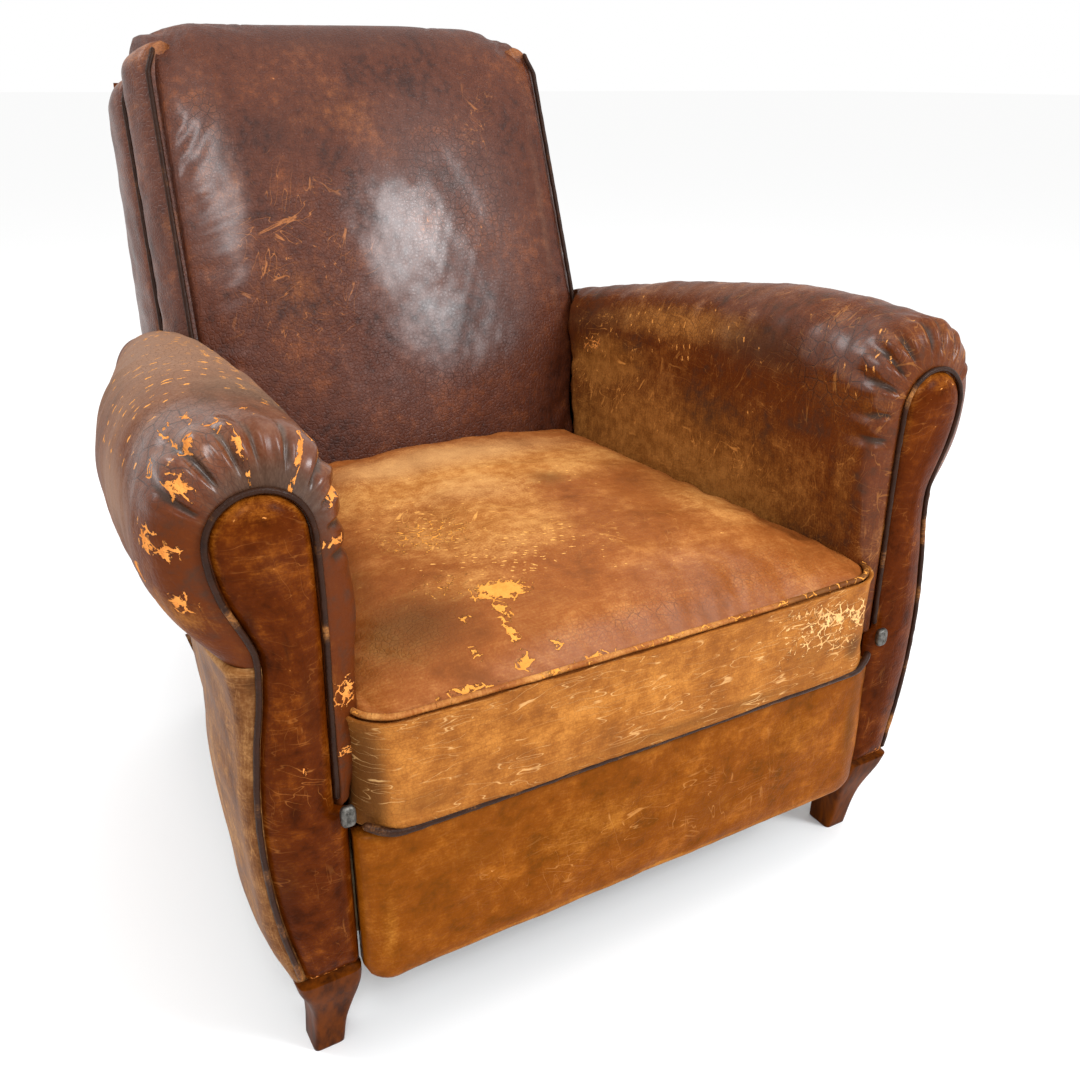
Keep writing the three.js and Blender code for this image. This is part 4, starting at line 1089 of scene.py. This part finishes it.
looks = {
    "backLeather": {
        "deep": (0.030, 0.0075, 0.004), "ground": (0.088, 0.020, 0.0065), "warm": (0.20, 0.048, 0.008),
        "rubDark": (0.20, 0.055, 0.013), "rubLight": (0.33, 0.11, 0.025), "dust": (0.19, 0.10, 0.065),
        "bare": (0.60, 0.24, 0.075), "bareDark": (0.36, 0.12, 0.035), "mark": (0.46, 0.14, 0.03),
        "crackColour": (0.020, 0.006, 0.004), "crackSize": 0.0095, "grain": 0.0026, "grainDepth": 0.00022, "creaseDepth": 0.00035, "gloss": 0.17,
        "mottle": 0.10, "rough": 0.47, "warmth": 0.7, "patch": 0.9, "headings": (0.3, 1.2, 2.2), "specular": 0.24, "coat": 0.6,
    },
    "armLeather": {
        "deep": (0.045, 0.026, 0.017), "ground": (0.105, 0.022, 0.0035), "warm": (0.20, 0.052, 0.006),
        "rubDark": (0.21, 0.070, 0.012), "rubLight": (0.38, 0.145, 0.030), "dust": (0.29, 0.160, 0.098),
        "bare": (0.80, 0.30, 0.065), "bareDark": (0.55, 0.17, 0.032), "mark": (0.76, 0.33, 0.07),
        "crackColour": (0.030, 0.010, 0.006), "crackSize": 0.014, "grain": 0.0022,
        "mottle": 0.08, "rough": 0.45, "warmth": 0.6, "patch": 0.75, "headings": (0.1, 1.4, 2.6), "fleckTurn": 0.2, "fleckSize": 0.005,
        "specular": 0.07, "coat": 0.9,
    },
    "sideLeather": {
        "deep": (0.028, 0.0050, 0.0003), "ground": (0.078, 0.013, 0.0004), "warm": (0.165, 0.034, 0.0012),
        "rubDark": (0.17, 0.038, 0.002), "rubLight": (0.32, 0.095, 0.008), "dust": (0.3, 0.19, 0.12),
        "bare": (0.72, 0.25, 0.055), "bareDark": (0.48, 0.14, 0.03), "mark": (0.60, 0.23, 0.05),
        "crackColour": (0.03, 0.008, 0.002), "crackSize": 0.012, "grain": 0.002,
        "mottle": 0.05, "rough": 0.42, "warmth": 0.9, "patch": 0.85, "headings": (0.0, 1.5, 0.4), "specular": 0.02,
        "coat": 0.1,
    },
    "panelLeather": {
        "deep": (0.055, 0.018, 0.004), "ground": (0.13, 0.040, 0.008), "warm": (0.21, 0.070, 0.013),
        "rubDark": (0.20, 0.072, 0.016), "rubLight": (0.46, 0.235, 0.085), "dust": (0.3, 0.19, 0.12),
        "bare": (0.72, 0.34, 0.12), "bareDark": (0.48, 0.18, 0.05), "mark": (0.66, 0.36, 0.13),
        "crackColour": (0.06, 0.02, 0.005), "crackSize": 0.014, "grain": 0.002,
        "mottle": 0.06, "rough": 0.45, "warmth": 0.7, "patch": 0.8, "headings": (0.0, 0.15, 1.5), "specular": 0.08,
        "coat": 0.2,
    },
    "seatLeather": {
        "deep": (0.11, 0.034, 0.006), "ground": (0.27, 0.072, 0.013), "warm": (0.45, 0.135, 0.026),
        "rubDark": (0.40, 0.140, 0.026), "rubLight": (0.60, 0.275, 0.075), "dust": (0.66, 0.35, 0.13),
        "bare": (0.80, 0.33, 0.060), "bareDark": (0.68, 0.25, 0.040), "mark": (0.84, 0.44, 0.13),
        "crackColour": (0.12, 0.034, 0.009), "crackSize": 0.012, "grain": 0.002,
        "mottle": 0.08, "rough": 0.46, "warmth": 0.6, "patch": 0.5, "headings": (0.0, 0.8, 2.2), "specular": 0.12,
        "coat": 0.8, "fleckSize": 0.0036, "fleckTurn": 0.5,
    },
    "bandLeather": {
        "deep": (0.10, 0.034, 0.006), "ground": (0.25, 0.074, 0.010), "warm": (0.34, 0.107, 0.014),
        "rubDark": (0.29, 0.090, 0.011), "rubLight": (0.50, 0.190, 0.034), "dust": (0.60, 0.32, 0.12),
        "bare": (0.84, 0.48, 0.19), "bareDark": (0.60, 0.26, 0.08), "mark": (0.84, 0.50, 0.20),
        "crackColour": (0.12, 0.04, 0.01), "crackSize": 0.012, "grain": 0.002,
        "mottle": 0.05, "rough": 0.6, "warmth": 0.5, "patch": 0.5, "headings": (0.0, 0.06, 3.1), "specular": 0.1, "coat": 0.0,
    },
    "apronLeather": {
        "deep": (0.095, 0.029, 0.002), "ground": (0.185, 0.045, 0.002), "warm": (0.29, 0.074, 0.003),
        "rubDark": (0.26, 0.078, 0.005), "rubLight": (0.42, 0.160, 0.020), "dust": (0.3, 0.19, 0.12),
        "bare": (0.74, 0.30, 0.07), "bareDark": (0.5, 0.17, 0.03), "mark": (0.66, 0.33, 0.10),
        "crackColour": (0.08, 0.024, 0.003), "crackSize": 0.014, "grain": 0.0021,
        "mottle": 0.06, "rough": 0.40, "warmth": 0.8, "patch": 0.75, "headings": (0.1, 1.7, 2.8), "specular": 0.02, "coat": 0.12,
    },
    "cordLeather": {
        "deep": (0.008, 0.003, 0.002), "ground": (0.026, 0.009, 0.004), "warm": (0.06, 0.016, 0.006),
        "rubDark": (0.15, 0.045, 0.012), "rubLight": (0.50, 0.20, 0.05), "dust": (0.2, 0.14, 0.1),
        "bare": (0.6, 0.28, 0.08), "bareDark": (0.4, 0.15, 0.04), "mark": (0.5, 0.2, 0.05),
        "crackColour": (0.012, 0.005, 0.003), "crackSize": 0.008, "grain": 0.0018,
        "mottle": 0.03, "rough": 0.36, "warmth": 0.3, "patch": 0.7, "specular": 0.12, "coat": 0.2,
    },
}
stuffs = {name: leather(name, look) for name, look in looks.items()}
stuffs["legWood"] = plainStuff("legWood", (0.036, 0.0075, 0.0004), (0.115, 0.025, 0.0008), 0.022, 0.36, (1, 1, 0.2))
stuffs["frameWood"] = plainStuff("frameWood", (0.30, 0.19, 0.10), (0.48, 0.34, 0.20), 0.03, 0.7, (0.2, 1, 1))
stuffs["jute"] = plainStuff("jute", (0.20, 0.13, 0.07), (0.36, 0.26, 0.15), 0.003, 0.9)
stuffs["horsehair"] = plainStuff("horsehair", (0.02, 0.014, 0.01), (0.08, 0.055, 0.035), 0.002, 0.95)
stuffs["springSteel"] = plainStuff("springSteel", (0.10, 0.09, 0.085), (0.24, 0.22, 0.20), 0.01, 0.45, metallic=0.9)
stuffs["studMetal"] = plainStuff("studMetal", (0.06, 0.056, 0.05), (0.16, 0.15, 0.135), 0.004, 0.4, metallic=0.9)
stuffs["blackCotton"] = plainStuff("blackCotton", (0.012, 0.012, 0.013), (0.03, 0.03, 0.032), 0.0015, 0.95)

for word, stuff in {
    "rail": "frameWood", "block": "frameWood", "webbing": "jute", "hessian": "jute", "spring": "springSteel", "stuffing": "horsehair",
}.items():
    for thing in bpy.data.objects:
        if "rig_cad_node" in thing and word in thing.name:
            thing.data.materials.clear()
            thing.data.materials.append(stuffs[stuff])
print("stuffs ready")

# ---- put together

for side, end in ((1, "Right"), (-1, "Left")):
    tail = end.lower()
    finishPiece(makeArmPad(side), "arm_leather", "arm_pad_" + tail, fill=0.75, material=stuffs["armLeather"])
    finishPiece(makeFacing(side), "side_leather", "arm_facing_" + tail, material=stuffs["sideLeather"])
    finishPiece(makeFacingCord(side), "cord_leather", "facing_piping_" + tail, material=stuffs["cordLeather"])
    finishPiece(makeOuterPanel(side), "side_leather", "outer_arm_panel_" + tail, material=stuffs["panelLeather"])
    finishPiece(makeStud(side), "stud_metal", "piping_stud_" + tail, material=stuffs["studMetal"])
    finishPiece(makeSideRoll(side, "Front", 9, 61, 488), "back_leather", "side_roll_front_" + tail, fill=0.8,
                material=stuffs["backLeather"])
    finishPiece(makeSideRoll(side, "Rear", 67, None, 470), "back_leather", "side_roll_rear_" + tail, fill=0.8,
                material=stuffs["backLeather"])
    finishPiece(makeBackCord(side, "Front", 5, 1, 480), "cord_leather", "back_piping_front_" + tail, material=stuffs["cordLeather"])
    finishPiece(makeBackCord(side, "Rear", 64, 1, 466), "cord_leather", "back_piping_rear_" + tail, material=stuffs["cordLeather"])
    finishPiece(makeFrontPost(side), "leg_wood", "front_post_" + tail, material=stuffs["legWood"])
    finishPiece(makeRearPost(side), "leg_wood", "rear_post_" + tail, material=stuffs["legWood"])
print("arms and legs ready")
finishPiece(swell(makeSeat(), 7), "seat_leather", "seat_top_leather", "seat_stuffing", fill=0.7, material=stuffs["seatLeather"])
finishPiece(makeBand(), "seat_leather", "seat_band", material=stuffs["bandLeather"])
finishPiece(makeTopPiping(), "cord_leather", "seat_top_piping", material=stuffs["seatLeather"])
finishPiece(makeWelt(), "cord_leather", "seat_lower_welt", material=stuffs["cordLeather"])
finishPiece(makeApron(), "apron_leather", "front_apron", material=stuffs["apronLeather"])
finishPiece(makeApronWelt(), "cord_leather", "apron_welt", material=stuffs["cordLeather"])
finishPiece(swell(makeBackPad(), 6), "back_leather", "back_pad", fill=0.75, material=stuffs["backLeather"])
finishPiece(makeOutsideBack(), "side_leather", "outside_back", material=stuffs["sideLeather"])
bottomCloth = finishPiece(makeBottomCloth(), "black_cotton", "bottom_cloth", material=stuffs["blackCotton"])
print("seat and back ready")
